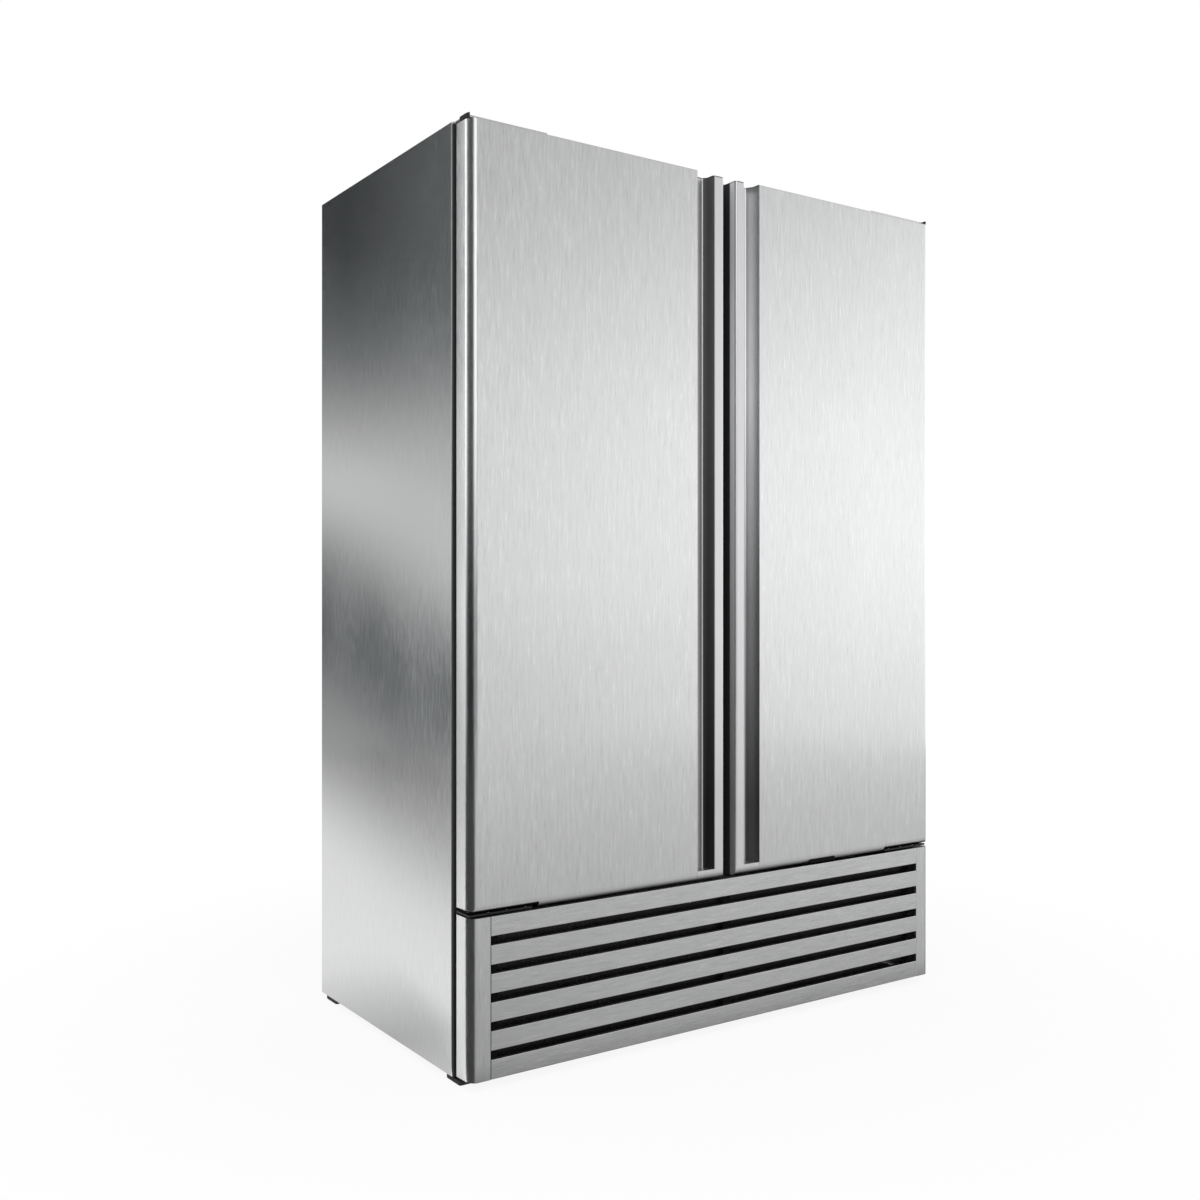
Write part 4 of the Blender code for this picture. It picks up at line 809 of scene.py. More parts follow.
class REFRIGERATOR_OT_door_faces(Operator):
    """Brushed outer face of each door, with its round corner and rolled edges, painted shade low on
    the roll and a painted shadow over the bottom hinge
    """
    bl_idname = "refrigerator.door_faces"
    bl_label = "Door faces"

    looks = ["brushed_upright", "roll_painted_shade", "flat_black_and_painted_shade"]
    step = 0.002  # width of the hem's end, and depth of the flat under the roll
    shade = 0.006  # height of the painted shadow in flat black on the face over the bottom hinge

    def execute(self, context):
        d = context.scene.refrigerator_doors
        plan = [(FACE_END, FRONT), (d.hem_end, FRONT), (d.hem_end + self.step, FRONT),
                *reversed(outer_corner(d)), (SIDE, DOOR_BACK)]
        for name, side in SIDES.items():
            form = bmesh.new()
            rows = [[(side * u, max(y, FRONT + d.roll + self.step), DOOR_BOTTOM) for u, y in plan]]
            rows += [[(side * u, max(y, FRONT + back), hem(z, u, d)) for u, y in plan]
                     for z, back in door_levels(d)]
            loft(form, rows, closed=False, caps=False)
            for row in (rows[0], rows[-1]):
                corners = (*row, (side * FACE_END, DOOR_BACK, row[0][2]))
                form.faces.new([form.verts.new(p) for p in corners])
            bmesh.ops.remove_doubles(form, verts=form.verts, dist=WELD)
            for face in form.faces:
                middle = face.calc_center_median()
                # A flat black strip over the bottom hinge is a painted shadow
                if abs(middle.x) > d.hem_end and middle.z < DOOR_BOTTOM + self.shade:
                    face.material_index = self.looks.index("flat_black_and_painted_shade")
                # Faces low on the roll get the steel with painted shade towards the bottom edge
                elif middle.z < DOOR_BOTTOM + d.roll * 0.5:
                    face.material_index = self.looks.index("roll_painted_shade")
            item = piece(f"{name}_door_face", form, self.looks, f"{name}_door",
                         [f"{name}_door_skin"])
            shell = item.modifiers.new("sheet", "SOLIDIFY")
            shell.thickness = d.sheet
            shell.offset = -1
            item.modifiers.move(len(item.modifiers) - 1, 0)
        return {"FINISHED"}


class REFRIGERATOR_OT_pulls(Operator):
    """Full-height pull along each meeting edge: sloped wall and lip side with painted shade and
    light, a cove with painted shade, and black edge trim as painted shade in the door gap
    """
    bl_idname = "refrigerator.pulls"
    bl_label = "Pulls"

    looks = ["satin_aluminium", "black_plastic", "lip_side_painted_shading", "cove_painted_shade", "wall_painted_shading",
             "roll_painted_shade"]
    heel = 0.006  # radius at the foot of the recess wall
    behind = 0.0004  # how far the closed foot sits behind the face
    beside = 0.0005  # room between the pull and the end of the face
    lid = 0.002  # thickness of the closed top
    wall_shading_start = 0.5  # height above which the recess wall has painted shade and light that change with height
    cove = {-1: (-0.0036, 0.0075), 1: (0.0002, 0.0075)}  # part with painted shade on the recess floor, from the lip's inner edge

    def execute(self, context):
        d = context.scene.refrigerator_doors
        floor = FRONT + d.pull_depth
        tuck = d.sheet + GAP
        foot = FACE_END - d.pull_depth * tan(d.pull_slope)
        top = DOOR_TOP - d.pull_rim
        lip_inner = MEETING + d.lip_width
        end = FACE_END - self.beside
        cove = arc((lip_inner + d.pull_cove, floor - d.pull_cove), d.pull_cove, 1, 2, 12)
        heel = arc((foot - 0.004, floor - self.heel), self.heel, 0.35, 1, 6)
        levels = [(z, back) for z, back in door_levels(d) if z < DOOR_BOTTOM + d.roll]
        levels.append((DOOR_BOTTOM + d.pull_end, 0))
        for name, side in SIDES.items():
            meeting = MEETING - (d.overlap if side < 0 else 0)
            lip_nose = d.lip_edge if side < 0 else d.lip_nose
            round_at = meeting + d.lip_edge, FRONT + d.lip_edge
            edge = arc(round_at, d.lip_edge, -1, -2, 14)
            set_back = arc((round_at[0], round_at[1] + self.behind), d.lip_edge, -1, -2, 14)
            nose = arc((lip_inner - lip_nose, FRONT + lip_nose), lip_nose, 0, -1, 12)
            turn = (meeting, FRONT + d.lip_return)
            path = [(FACE_END + d.pull_tuck, FRONT + tuck), (FACE_END - 0.0012, FRONT + tuck),
                    *heel, *cove, *nose, *edge, turn, (meeting, DOOR_BACK)]
            back_line = [(meeting, DOOR_BACK - 0.002), (end, DOOR_BACK - 0.002)]
            closed_foot = [(end, FRONT + self.behind), *set_back, turn, *back_line]
            lid = [*heel, *cove, *nose, *edge, turn, *back_line, (end, FRONT + tuck)]
            form = bmesh.new()
            upright(form, side, folded(path, d.pull_sheet), DOOR_BOTTOM + d.pull_end - 0.001, top)
            loft(form, [[(side * u, max(y, FRONT + back), hem(z, u, d)) for u, y in closed_foot]
                        for z, back in levels])
            upright(form, side, lid, top - self.lid, top - 0.0002)
            shade_start, shade_end = self.cove[side]
            for face in form.faces:
                middle = face.calc_center_median()
                x, y, z = abs(middle.x), middle.y, middle.z
                look = "satin_aluminium"
                if abs(x - meeting) < TINY:
                    # On the meeting side: black deep in the door gap as painted shade, grey nearer
                    # the front
                    look = "black_plastic" if y > turn[1] else "lip_side_painted_shading"
                # The recess floor next to the lip gets painted shade
                elif shade_start < x - lip_inner < shade_end and FRONT < y < floor + TINY:
                    look = "cove_painted_shade"
                # Faces low on the roll get the steel with painted shade towards the bottom edge
                elif z < DOOR_BOTTOM + d.roll * 0.5:
                    look = "roll_painted_shade"
                # The upper recess wall gets its painted shade and highlight
                elif (x > foot - 0.005 and FRONT + tuck < y < floor - 0.0005
                      and z > self.wall_shading_start):
                    look = "wall_painted_shading"
                face.material_index = self.looks.index(look)
            piece(f"{name}_door_pull", form, self.looks, f"{name}_door", [f"{name}_door_handle"])
        return {"FINISHED"}


class REFRIGERATOR_OT_door_linings(Operator):
    """Moulded lining and bellows gasket on the back of each door, and the right door's stop"""
    bl_idname = "refrigerator.door_linings"
    bl_label = "Door linings"

    foam_gap = 0.0025  # room between the foam and the face's round corner
    stop_shift = (0.022, 0.029)  # how far the stop's two ends lie nearer the middle
    stop_front = 0.0040  # how far the stop reaches forward under the roll

    def execute(self, context):
        d = context.scene.refrigerator_doors
        for name in SIDES:
            self.lining(name, d)
            self.gasket(name, d)
        carry_over("insulation", "left_door_insulation", "right_door_insulation")
        for name in SIDES:
            shrink = frame["nodes"][f"{name}_door_insulation"].modifiers.new("shrink", "DISPLACE")
            shrink.mid_level = 0
            shrink.strength = -self.foam_gap
        self.stop(d)
        return {"FINISHED"}

    def stop(self, d):
        """Black block that hugs the rolled edge under the right door."""
        low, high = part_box("right_door_stop")
        front = low.y - self.stop_front
        centre = (FRONT + d.roll, DOOR_BOTTOM + d.roll)
        hug = arc(centre, d.roll + GAP, -1, -1.5, 8)
        loop = [(front, low.z + 0.002), (low.y - 0.0020, low.z), (high.y, low.z),
                (high.y, high.z), *hug, (front, hug[-1][1] - 0.0005)]
        form = bmesh.new()
        bar(form, loop, "X", low.x - self.stop_shift[0], high.x - self.stop_shift[1])
        piece("right_stop_block", form, ["flat_black_and_painted_shade"], "right_door", ["right_door_stop"],
              edge=0.0012)

    def lining(self, name, d):
        """Raised tray inside the gasket, with a sunk field."""
        low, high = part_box(f"{name}_door_liner")
        ring_low, ring_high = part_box(f"{name}_door_gasket")
        clear = d.gasket + 0.003
        rim, field = 0.014, 0.012
        steps = [(clear, rim, 0.0)]
        steps += [(clear + d.plug_edge * (1 - cos(a)), rim, 0.004 + d.plug_edge * sin(a))
                  for a in (*DOME_TURNS, pi / 2)]
        steps += [(clear + inset, field, rise) for inset, rise in
                  ((0.050, 0.010), (0.053, 0.0094), (0.060, 0.0066), (0.064, 0.006))]
        flange = round_loop((low.x, low.z), (high.x, high.z), 0.0004)
        rings = [[(p, DOOR_BACK + rise, q) for p, q in flange] for rise in (-0.0015, 0.0)]
        for inset, radius, rise in steps:
            loop = round_loop((ring_low.x + inset, ring_low.z + inset),
                              (ring_high.x - inset, ring_high.z - inset), radius)
            rings.append([(p, DOOR_BACK + rise, q) for p, q in loop])
        form = bmesh.new()
        loft(form, rings)
        piece(f"{name}_door_lining", form, ["white_plastic"], f"{name}_door",
              [f"{name}_door_liner"])

    def gasket(self, name, d):
        """Folded rubber bellows with its magnet strip."""
        low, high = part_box(f"{name}_door_gasket")
        back, face, wide = low.y, high.y, d.gasket
        profile = [
            (0.003, back), (0.003, back + 0.002), (0.0010, back + 0.0036),
            (0.0032, back + 0.0052), (0.0010, back + 0.0068), (0.0008, face - 0.0052),
            (0.0, face - 0.0044), (0.0, face - 0.0008), (0.0008, face), (wide - 0.0008, face),
            (wide, face - 0.0008), (wide, face - 0.0044), (wide - 0.0008, face - 0.0052),
            (wide - 0.0060, back + 0.0068), (wide - 0.0030, back + 0.0052),
            (wide - 0.0062, back + 0.0036), (wide - 0.004, back + 0.002), (wide - 0.004, back)]
        rings = [[(p, y, q) for p, q in rectangle((low.x + inset, low.z + inset),
                                                  (high.x - inset, high.z - inset))]
                 for inset, y in profile]
        form = bmesh.new()
        loft(form, [*rings, rings[0]], caps=False)
        piece(f"{name}_door_seal", form, ["rubber"], f"{name}_door", [f"{name}_door_gasket"],
              sharp=50)


class REFRIGERATOR_OT_case(Operator):
    """Steel sides, pressed top and back, and the black strips in the door gaps"""
    bl_idname = "refrigerator.case"
    bl_label = "Case"

    strip_half = 0.0232  # half the width of the strip on the mullion
    strip_past = 0.03  # how far that strip runs past the mouth
    margin = 0.02  # from a panel's edge to its screws

    def execute(self, context):
        c = context.scene.refrigerator_case
        for name, side in SIDES.items():
            self.side(name, side, c)
        form = bmesh.new()
        block(form, (-self.strip_half, CASE_FRONT - c.seal, MOUTH_LOW.z - self.strip_past),
              (self.strip_half, CASE_FRONT - TINY, MOUTH_HIGH.z + self.strip_past))
        piece("mullion_strip", form, ["black_plastic"], "cabinet", edge=0.0004)
        for node, axis in (("top_panel", "Z"), ("back_panel", "Y")):
            self.panel(node, axis, c)
        carry_over("insulation", "cabinet_insulation")
        carry_over("brushed_upright", "face_frame")
        carry_over("grey_epoxy", "inner_liner", "center_mullion", edge=0.0010)
        carry_over("galvanised", "base_tray", edge=0.0006)
        return {"FINISHED"}

    def side(self, name, side, c):
        """Side sheet with its front flange, and the black trim on its edge."""
        edge = CASE_FRONT + c.trim
        path = [(SIDE, BACK), (SIDE, edge + c.bend),
                *arc((SIDE - c.bend, edge + c.bend), c.bend, 0, -1, 10), (SIDE - c.flange, edge)]
        form = bmesh.new()
        upright(form, side, folded(path, c.sheet), BASE, TOP)
        piece(f"{name}_side_sheet", form, ["brushed_side"], "cabinet", [f"{name}_side_panel"])
        outer, step = SIDE - 0.0006, SIDE - c.flange + 0.0004
        inner = SIDE - c.flange - 0.010
        trim = [(outer, edge - GAP), (step, edge - GAP), (step, CASE_FRONT - TINY),
                (inner, CASE_FRONT - TINY), (inner, CASE_FRONT - c.seal),
                (outer, CASE_FRONT - c.seal)]
        form = bmesh.new()
        upright(form, side, trim, BASE + 0.001, TOP - 0.004)
        piece(f"{name}_gap_strip", form, ["black_plastic"], "cabinet", edge=0.0004)

    def panel(self, node, axis, c):
        """Flat panel with a pressed field, and a row of screws round it."""
        low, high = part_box(node)
        a, b = [[v for i, v in enumerate(corner) if "XYZ"[i] != axis] for corner in (low, high)]
        inner, outer = [corner["XYZ".index(axis)] for corner in (low, high)]
        rings = []
        for inset, radius, level in ((0, 0.0005, inner), (0, 0.0005, outer), (0.055, 0.03, outer),
                                     (0.058, 0.03, outer - c.bead * 0.2),
                                     (0.064, 0.03, outer - c.bead * 0.8),
                                     (0.067, 0.03, outer - c.bead)):
            loop = round_loop((a[0] + inset, a[1] + inset), (b[0] - inset, b[1] - inset), radius)
            rings.append([spot(axis, p, q, level) for p, q in loop])
        form = bmesh.new()
        loft(form, rings)
        piece(f"{node}_sheet", form, ["galvanised"], "cabinet", [node])
        m = self.margin
        along = [a[0] + m + (b[0] - a[0] - 2 * m) * i / 8 for i in range(9)]
        up = [a[1] + m + (b[1] - a[1] - 2 * m) * i / 6 for i in range(1, 6)]
        places = [(p, q) for p in along for q in (a[1] + m, b[1] - m)]
        places += [(p, q) for q in up for p in (a[0] + m, b[0] - m)]
        form = bmesh.new()
        for p, q in places:
            pan_head(form, spot(axis, p, q, outer), spot(axis, 0, 0, 1))
        piece(f"{node}_screws", form, ["zinc"], "cabinet")


class REFRIGERATOR_OT_rear_cover(Operator):
    """Louvred cover over the cooling unit, with its screws and cord gland"""
    bl_idname = "refrigerator.rear_cover"
    bl_label = "Rear cover"

    half, wide = 0.090, 0.006  # half the height and half the width of a louvre
    hole = 0.0104  # radius of the gland's hole
    screw_row = (-0.66, -0.33, 0.0, 0.33, 0.66)
    screw_inset = 0.014

    def execute(self, context):
        c = context.scene.refrigerator_case
        gland_low, gland_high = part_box("cord_gland")
        gland = (gland_low + gland_high) / 2
        middle = (COVER_LOW.z + COVER_HIGH.z) / 2
        half, wide = self.half, self.wide
        places = [(i - (c.louvres - 1) / 2) * c.louvre_pitch for i in range(c.louvres)]
        slots = [rectangle((x - wide, middle - half), (x + wide, middle + half)) for x in places]
        hole = arc((gland.x, gland.z), self.hole, 0, 4, 24)[:-1]
        outline = rectangle((COVER_LOW.x, COVER_LOW.z), (COVER_HIGH.x, COVER_HIGH.z))
        face = COVER_HIGH.y
        form = bmesh.new()
        slab(form, [outline, hole, *slots], "Y", COVER_LOW.y, face)
        low, high = middle - half, middle + half
        heights = ((low, 0.0), (low + 0.006, 0.8), (low + 0.012, 1.0), (high - 0.012, 1.0),
                   (high - 0.006, 0.8), (high, 0.0))
        for x in places:
            rings = []
            for z, rise in heights:
                lift = c.louvre_rise * rise
                path = [(x - wide, face), (x - wide * 0.5, face + lift * 0.55),
                        (x + wide * 0.2, face + lift * 0.9), (x + wide, face + lift)]
                rings.append([(p, q, z) for p, q in path]
                             + [(p, q + c.sheet, z) for p, q in path[::-1]])
            loft(form, rings)
        piece("rear_louvres", form, ["galvanised"], "cabinet", ["rear_service_cover"])
        form = bmesh.new()
        for x in self.screw_row:
            for z in (COVER_LOW.z + self.screw_inset, COVER_HIGH.z - self.screw_inset):
                screw(form, (x, face, z), (0, 1, 0))
        piece("rear_cover_screws", form, ["zinc"], "cabinet")
        self.gland((gland.x, gland_low.y, gland.z), gland_high.y - gland_low.y)
        return {"FINISHED"}

    def gland(self, place, deep):
        """Flanged ring in the cover's hole."""
        bore, neck, flange = 0.0060, 0.0100, 0.0150
        rim = deep - 0.006
        form = bmesh.new()
        lathe(form, [(bore, 0), (neck, 0), (neck, rim), (flange, rim), (flange, rim + 0.003),
                     (0.0125, rim + 0.0036), (0.0115, deep), (0.0070, deep), (bore, deep - 0.001),
                     (bore, 0)], facing(place, (0, 1, 0)), 36)
        piece("cord_entry", form, ["black_plastic"], "cabinet", ["cord_gland"], sharp=45)


class REFRIGERATOR_OT_grille(Operator):
    """Folded slats and round-cornered end posts in front of the cooling unit"""
    bl_idname = "refrigerator.grille"
    bl_label = "Grille"

    rib, rib_front, rib_back = 0.010, 0.0104, 0.0125  # half width and depths of the ribs, which are flat black as painted shade in the slots
    fold, lip = 0.0016, 0.022  # radius and depth of a post's inner fold
    inset = 0.0004  # from a post's outside to its end plates
    filter_back, filter_frame = 0.0240, 0.003  # depth and thickness of the filter's frame
    side_bar, top_bar = 0.045, 0.012  # widths of that frame
    root = 0.002  # how far the wires run into the frame

    def execute(self, context):
        c = context.scene.refrigerator_case
        d = context.scene.refrigerator_doors
        end = GRILLE_HIGH.x
        tall = GRILLE_HIGH.z - GRILLE_LOW.z
        slot = (tall - c.slats * c.slat) / (c.slats - 1)
        r = c.slat_bend
        form = bmesh.new()
        for number in range(c.slats):
            low = GRILLE_LOW.z + number * (c.slat + slot)
            high = low + c.slat
            top_fold = DOOR_BACK if number == c.slats - 1 else FRONT + c.slat_flange
            low_fold = DOOR_BACK if number == 0 else FRONT + c.slat_flange
            path = [(top_fold, high), *arc((FRONT + r, high - r), r, 1, 2, 6),
                    *arc((FRONT + r, low + r), r, 2, 3, 6), (low_fold, low)]
            bar(form, folded(path, -c.sheet), "X", -end, end)
        rib = self.rib
        # Ribs in flat black, as painted shade that hides them in the slots
        for x in (-end + rib, 0, end - rib):
            block(form, (x - rib, FRONT + self.rib_front, GRILLE_LOW.z + 0.002),
                  (x + rib, FRONT + self.rib_back, GRILLE_HIGH.z - 0.002), 1)
        piece("grille_slats", form, ["brushed_level_painted_shade", "flat_black_and_painted_shade"], "cabinet", ["grille_panel"])
        self.filter_and_shade_screen(c)
        fold, inset = self.fold, self.inset
        path = [(SIDE, DOOR_BACK), *outer_corner(d),
                *arc((POST_INNER + fold, FRONT + fold), fold, -1, -2, 6),
                (POST_INNER, FRONT + self.lip)]
        plate = [(SIDE - inset, DOOR_BACK), *outer_corner(d, inset),
                 (POST_INNER + fold, FRONT + inset), (POST_INNER + fold, DOOR_BACK)]
        for name, side in SIDES.items():
            form = bmesh.new()
            upright(form, side, folded(path, c.post_sheet), GRILLE_LOW.z, GRILLE_HIGH.z)
            for low in (GRILLE_LOW.z, GRILLE_HIGH.z - c.post_sheet):
                upright(form, side, plate, low, low + c.post_sheet)
            piece(f"{name}_grille_end", form, ["brushed_upright"], "cabinet",
                  [f"{name}_grille_post"])
        return {"FINISHED"}

    def filter_and_shade_screen(self, c):
        """Black wire screen in a frame behind the slots; its black also stands in for the shade
        inside the grille.
        """
        form = bmesh.new()
        front = FRONT + self.filter_back
        low, high = (-SIDE + 0.006, GRILLE_LOW.z + 0.003), (SIDE - 0.006, GRILLE_HIGH.z - 0.003)
        inner = [(low[0] + self.side_bar, low[1] + self.top_bar),
                 (high[0] - self.side_bar, high[1] - self.top_bar)]
        slab(form, [rectangle(low, high), rectangle(*inner)], "Y", front,
             front + self.filter_frame)
        half = c.screen / 2
        for axis, (start, end) in enumerate(zip(*inner)):
            number = int((end - start) / c.screen_pitch)
            first, last = inner[0][1 - axis] - self.root, inner[1][1 - axis] + self.root
            y = front + 0.0005 + (half if axis else 0)
            for step in range(1, number):
                middle = start + (end - start) * step / number
                a, b = (first, middle - half), (last, middle + half)
                if not axis:
                    a, b = a[::-1], b[::-1]
                block(form, (a[0], y, a[1]), (b[0], y + c.screen, b[1]))
        piece("filter_and_shade_screen", form, ["black_paint"], "cabinet")


class REFRIGERATOR_OT_hinges(Operator):
    """Hinge plates, their screws and the black caps on the top corners"""
    bl_idname = "refrigerator.hinges"
    bl_label = "Hinges"

    cap_turn = -0.42  # quarter turns that a cap reaches round the corner
    top_screws = (0.020, 0.060, 0.100, 0.150)  # along a top hinge, from its outer end
    foot_screws = (0.050, 0.095, 0.140)  # along a bottom hinge, from the side

    def execute(self, context):
        d = context.scene.refrigerator_doors
        carry_over("brushed_level_painted_shade", "left_top_hinge", "right_top_hinge", edge=0.0008)
        carry_over("black_paint", "left_bottom_hinge", "right_bottom_hinge", edge=0.0008)
        for name, side in SIDES.items():
            low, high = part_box(f"{name}_hinge_cap")
            hinge_low, hinge_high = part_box(f"{name}_top_hinge")
            outer = max(abs(hinge_low.x), abs(hinge_high.x))
            set_back = hinge_low.y - GAP
            round_end = arc((SIDE - d.corner, FRONT + d.corner), d.corner, 0,
                            self.cap_turn, 10)
            loop = [(SIDE, high.y), *round_end, (round_end[-1][0], set_back),
                    (outer + GAP, set_back), (outer + GAP, high.y)]
            form = bmesh.new()
            upright(form, side, loop, low.z, high.z)
            piece(f"{name}_corner_cap", form, ["black_plastic"], "cabinet", [f"{name}_hinge_cap"],
                  edge=0.0010)
            form = bmesh.new()
            y = (hinge_low.y + hinge_high.y) / 2 + 0.006
            for u in self.top_screws:
                pan_head(form, (side * (SIDE - 0.03 - u), y, hinge_high.z), (0, 0, 1), 0.006, 0.001)
            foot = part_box(f"{name}_bottom_hinge")[0].z
            for u in self.foot_screws:
                screw(form, (side * (SIDE - u), FRONT + 0.014, foot + 0.0225), (0, -1, 0),
                      0.0018, 0.002)
            piece(f"{name}_hinge_screws", form, ["zinc"], "cabinet")
        return {"FINISHED"}


class REFRIGERATOR_OT_feet(Operator):
    """Levelling feet with a hexagon nut and threaded stem"""
    bl_idname = "refrigerator.feet"
    bl_label = "Feet"

    root, crest, pitch = 0.0052, 0.0060, 0.0012  # of the thread
    # Inset and height of the pad's rings
    rings = ((0.0025, 0.0), (0.0006, 0.0008), (0.0, 0.0026), (0.0, BASE - 0.0052),
             (0.0008, BASE - 0.0036), (0.0100, BASE - 0.0022), (0.0118, BASE - 0.0022))
    nut = [(0.0125, BASE - 0.0030), (0.0142, BASE - 0.0026), (0.0142, BASE - 0.0010),
           (0.0128, BASE - 0.0004)]

    def execute(self, context):
        for end in ("front", "rear"):
            for name in SIDES:
                self.foot(f"{end}_{name}_foot")
        return {"FINISHED"}

    def foot(self, node):
        low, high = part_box(node)
        place = Matrix.Translation(((low.x + high.x) / 2, (low.y + high.y) / 2, 0))
        loops = [(round_loop((low.x + inset, low.y + inset), (high.x - inset, high.y - inset),
                             0.004), z) for inset, z in self.rings]
        form = bmesh.new()
        loft(form, [[(p, q, z) for p, q in loop] for loop, z in loops])
        lathe(form, self.nut, place, 6)
        thread, height = [(0.0050, BASE - 0.001)], BASE - 0.0005
        while height < high.z - 0.002:
            thread += [(self.root, height), (self.crest, height + self.pitch / 2)]
            height += self.pitch
        lathe(form, [*thread, (0.0048, high.z)], place, 24, 1)
        piece(f"{node}_pad", form, ["black_plastic", "zinc"], f"{node}_body", [node])


def finned_coil(form, low, high, c, rows):
    """Block of thin fins on tubes, between two end plates."""
    plate, pass_pitch = 0.0015, 0.036
    x = low.x + 0.004
    while x < high.x - 0.003:
        block(form, (x, low.y, low.z + 0.001), (x + c.fin, high.y, high.z - 0.001))
        x += c.fin_pitch
    for x in (low.x, high.x - plate):
        block(form, (x, low.y, low.z), (x + plate, high.y, high.z))
    passes = int((high.z - low.z) / pass_pitch)
    for row in range(rows):
        y = low.y + (high.y - low.y) * (row + 0.5) / rows
        for number in range(passes):
            z = low.z + (high.z - low.z) * (number + 0.5) / passes
            tube(form, [(low.x + 0.001, y, z), (high.x - 0.001, y, z)], c.tube, 10, look=1)


def fan(form, centre, radius, chord, c, deep):
    """Hub with cambered blades about a Y axis."""
    place = facing(centre, (0, -1, 0))
    half = deep / 2
    hub = [(c.hub * 0.55, -half), (c.hub, -half), (c.hub, half - 0.004),
           (c.hub * 0.94, half - 0.001), (c.hub * 0.80, half), (c.hub * 0.30, half)]
    lathe(form, hub, place, 40)
    for number in range(c.blades):
        rings = []
        for step in range(9):
            t = step / 8
            r = c.hub * 0.9 + (radius - c.hub * 0.9) * t
            wide = chord * (0.62 + 0.50 * sin(pi * (0.25 + 0.5 * t)))
            pitch = radians(34 - 12 * t)
            upper, lower = [], []
            for k in range(9):
                s = k / 8 - 0.5
                camber = 0.10 * wide * (0.25 - s * s)
                across = s * wide * cos(pitch) + 0.18 * chord * t
                along = s * wide * sin(pitch) + camber
                turn = 2 * pi * number / c.blades + across / r
                thick = c.blade / 2 * (1 - 0.7 * abs(2 * s) ** 3)
                for side, sign in ((upper, 1), (lower, -1)):
                    level = max(-half, min(half, along)) + sign * thick
                    side.append(place @ Vector((r * cos(turn), r * sin(turn), level)))
            rings.append(upper + lower[::-1])
        loft(form, rings)


class REFRIGERATOR_OT_cooling_unit(Operator):
    """Condenser coil, fan, compressor, copper line, drain pan and control box behind the grille"""
    bl_idname = "refrigerator.cooling_unit"
    bl_label = "Cooling unit"

    def execute(self, context):
        c = context.scene.refrigerator_cooling
        form = bmesh.new()
        finned_coil(form, *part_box("condenser_coil"), c, 2)
        piece("condenser_fins", form, ["aluminium", "copper"], "cabinet", ["condenser_coil"])
        low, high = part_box("condenser_fan_blade")
        form = bmesh.new()
        fan(form, (low + high) / 2, radius=0.115, chord=0.070, c=c, deep=high.y - low.y)
        piece("condenser_fan", form, ["black_plastic"], "condenser_fan", ["condenser_fan_blade"],
              sharp=45)
        carry_over("galvanised", "condenser_fan_shroud", "control_box", edge=0.0006)
        carry_over("black_paint", "condenser_fan_motor", edge=0.0015)
        carry_over("black_plastic", "drain_pan", edge=0.0008)
        self.compressor()
        self.line(c)
        low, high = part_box("control_box")
        form = bmesh.new()
        for x in (low.x + 0.012, high.x - 0.012):
            for z in (low.z + 0.012, high.z - 0.012):
                screw(form, (x, low.y, z), (0, -1, 0), 0.0035)
        piece("control_box_screws", form, ["zinc"], "cabinet")
        return {"FINISHED"}

    def compressor(self):
        """Two-shell can on a foot plate with rubber mounts, terminal cap and suction stub."""
        low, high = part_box("compressor")
        base = low.z + 0.014
        centre = Vector((low.x + 0.115, (low.y + high.y) / 2, base))
        can, seam = 0.0864, 0.0900
        lower = [(0.066 + 0.0204 * sin(a), 0.024 - 0.020 * cos(a)) for a in (*DOME_TURNS, 1.57)]
        dome = [(can * cos(a) ** 0.72 + TINY, 0.136 + 0.056 * sin(a))
                for a in (0, 0.25, 0.5, 0.75, 1.0, 1.25, 1.45)]
        form = bmesh.new()
        lathe(form, [(0.060, 0.002), *lower, (can, 0.074), (0.0890, 0.0755), (seam, 0.078),
                     (seam, 0.082), (0.0890, 0.0845), (can, 0.086), *dome],
              Matrix.Translation(centre), 56)
        plate = round_loop((centre.x - 0.115, centre.y - 0.075),
                           (centre.x + 0.115, centre.y + 0.075), 0.014)
        slab(form, [plate], "Z", base, base + 0.004)
        mount = [(0.012, -0.014), (0.0125, -0.008), (0.0105, -0.006), (0.012, -0.004),
                 (0.012, 0.0002)]
        for x in (-0.097, 0.097):
            for y in (-0.057, 0.057):
                lathe(form, mount, Matrix.Translation(centre + Vector((x, y, 0))), 24, 1)
                screw(form, centre + Vector((x, y, 0.004)), (0, 0, 1), 0.006, 0.006, 2)
        cap = bmesh.ops.create_cube(form, size=1)["verts"]
        bmesh.ops.scale(form, vec=(0.036, 0.068, 0.060), verts=cap)
        bmesh.ops.translate(form, vec=centre + Vector((0.090, 0, 0.0885)), verts=cap)
        tube(form, [centre + Vector((-0.070, 0, z)) for z in (0.110, 0.194)], 0.0062, 16, look=3)
        piece("compressor_case", form, ["black_paint", "rubber", "zinc", "copper"], "cabinet",
              ["compressor"], edge=0.0010)

    def line(self, c):
        low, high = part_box("refrigerant_line")
        stub = (high.x - c.line, high.y - c.line)
        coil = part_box("condenser_coil")
        y = (coil[0].y + coil[1].y) / 2
        run = high.z - c.line
        bend_x = low.x + (0.050 - GAP)
        corners = [(*stub, low.z), (*stub, run), (bend_x, stub[1], run), (bend_x, y, run),
                   (low.x, y, run)]
        form = bmesh.new()
        tube(form, bent(corners, 0.025, 10), c.line, 18)
        piece("copper_line", form, ["copper"], "cabinet", ["refrigerant_line"])


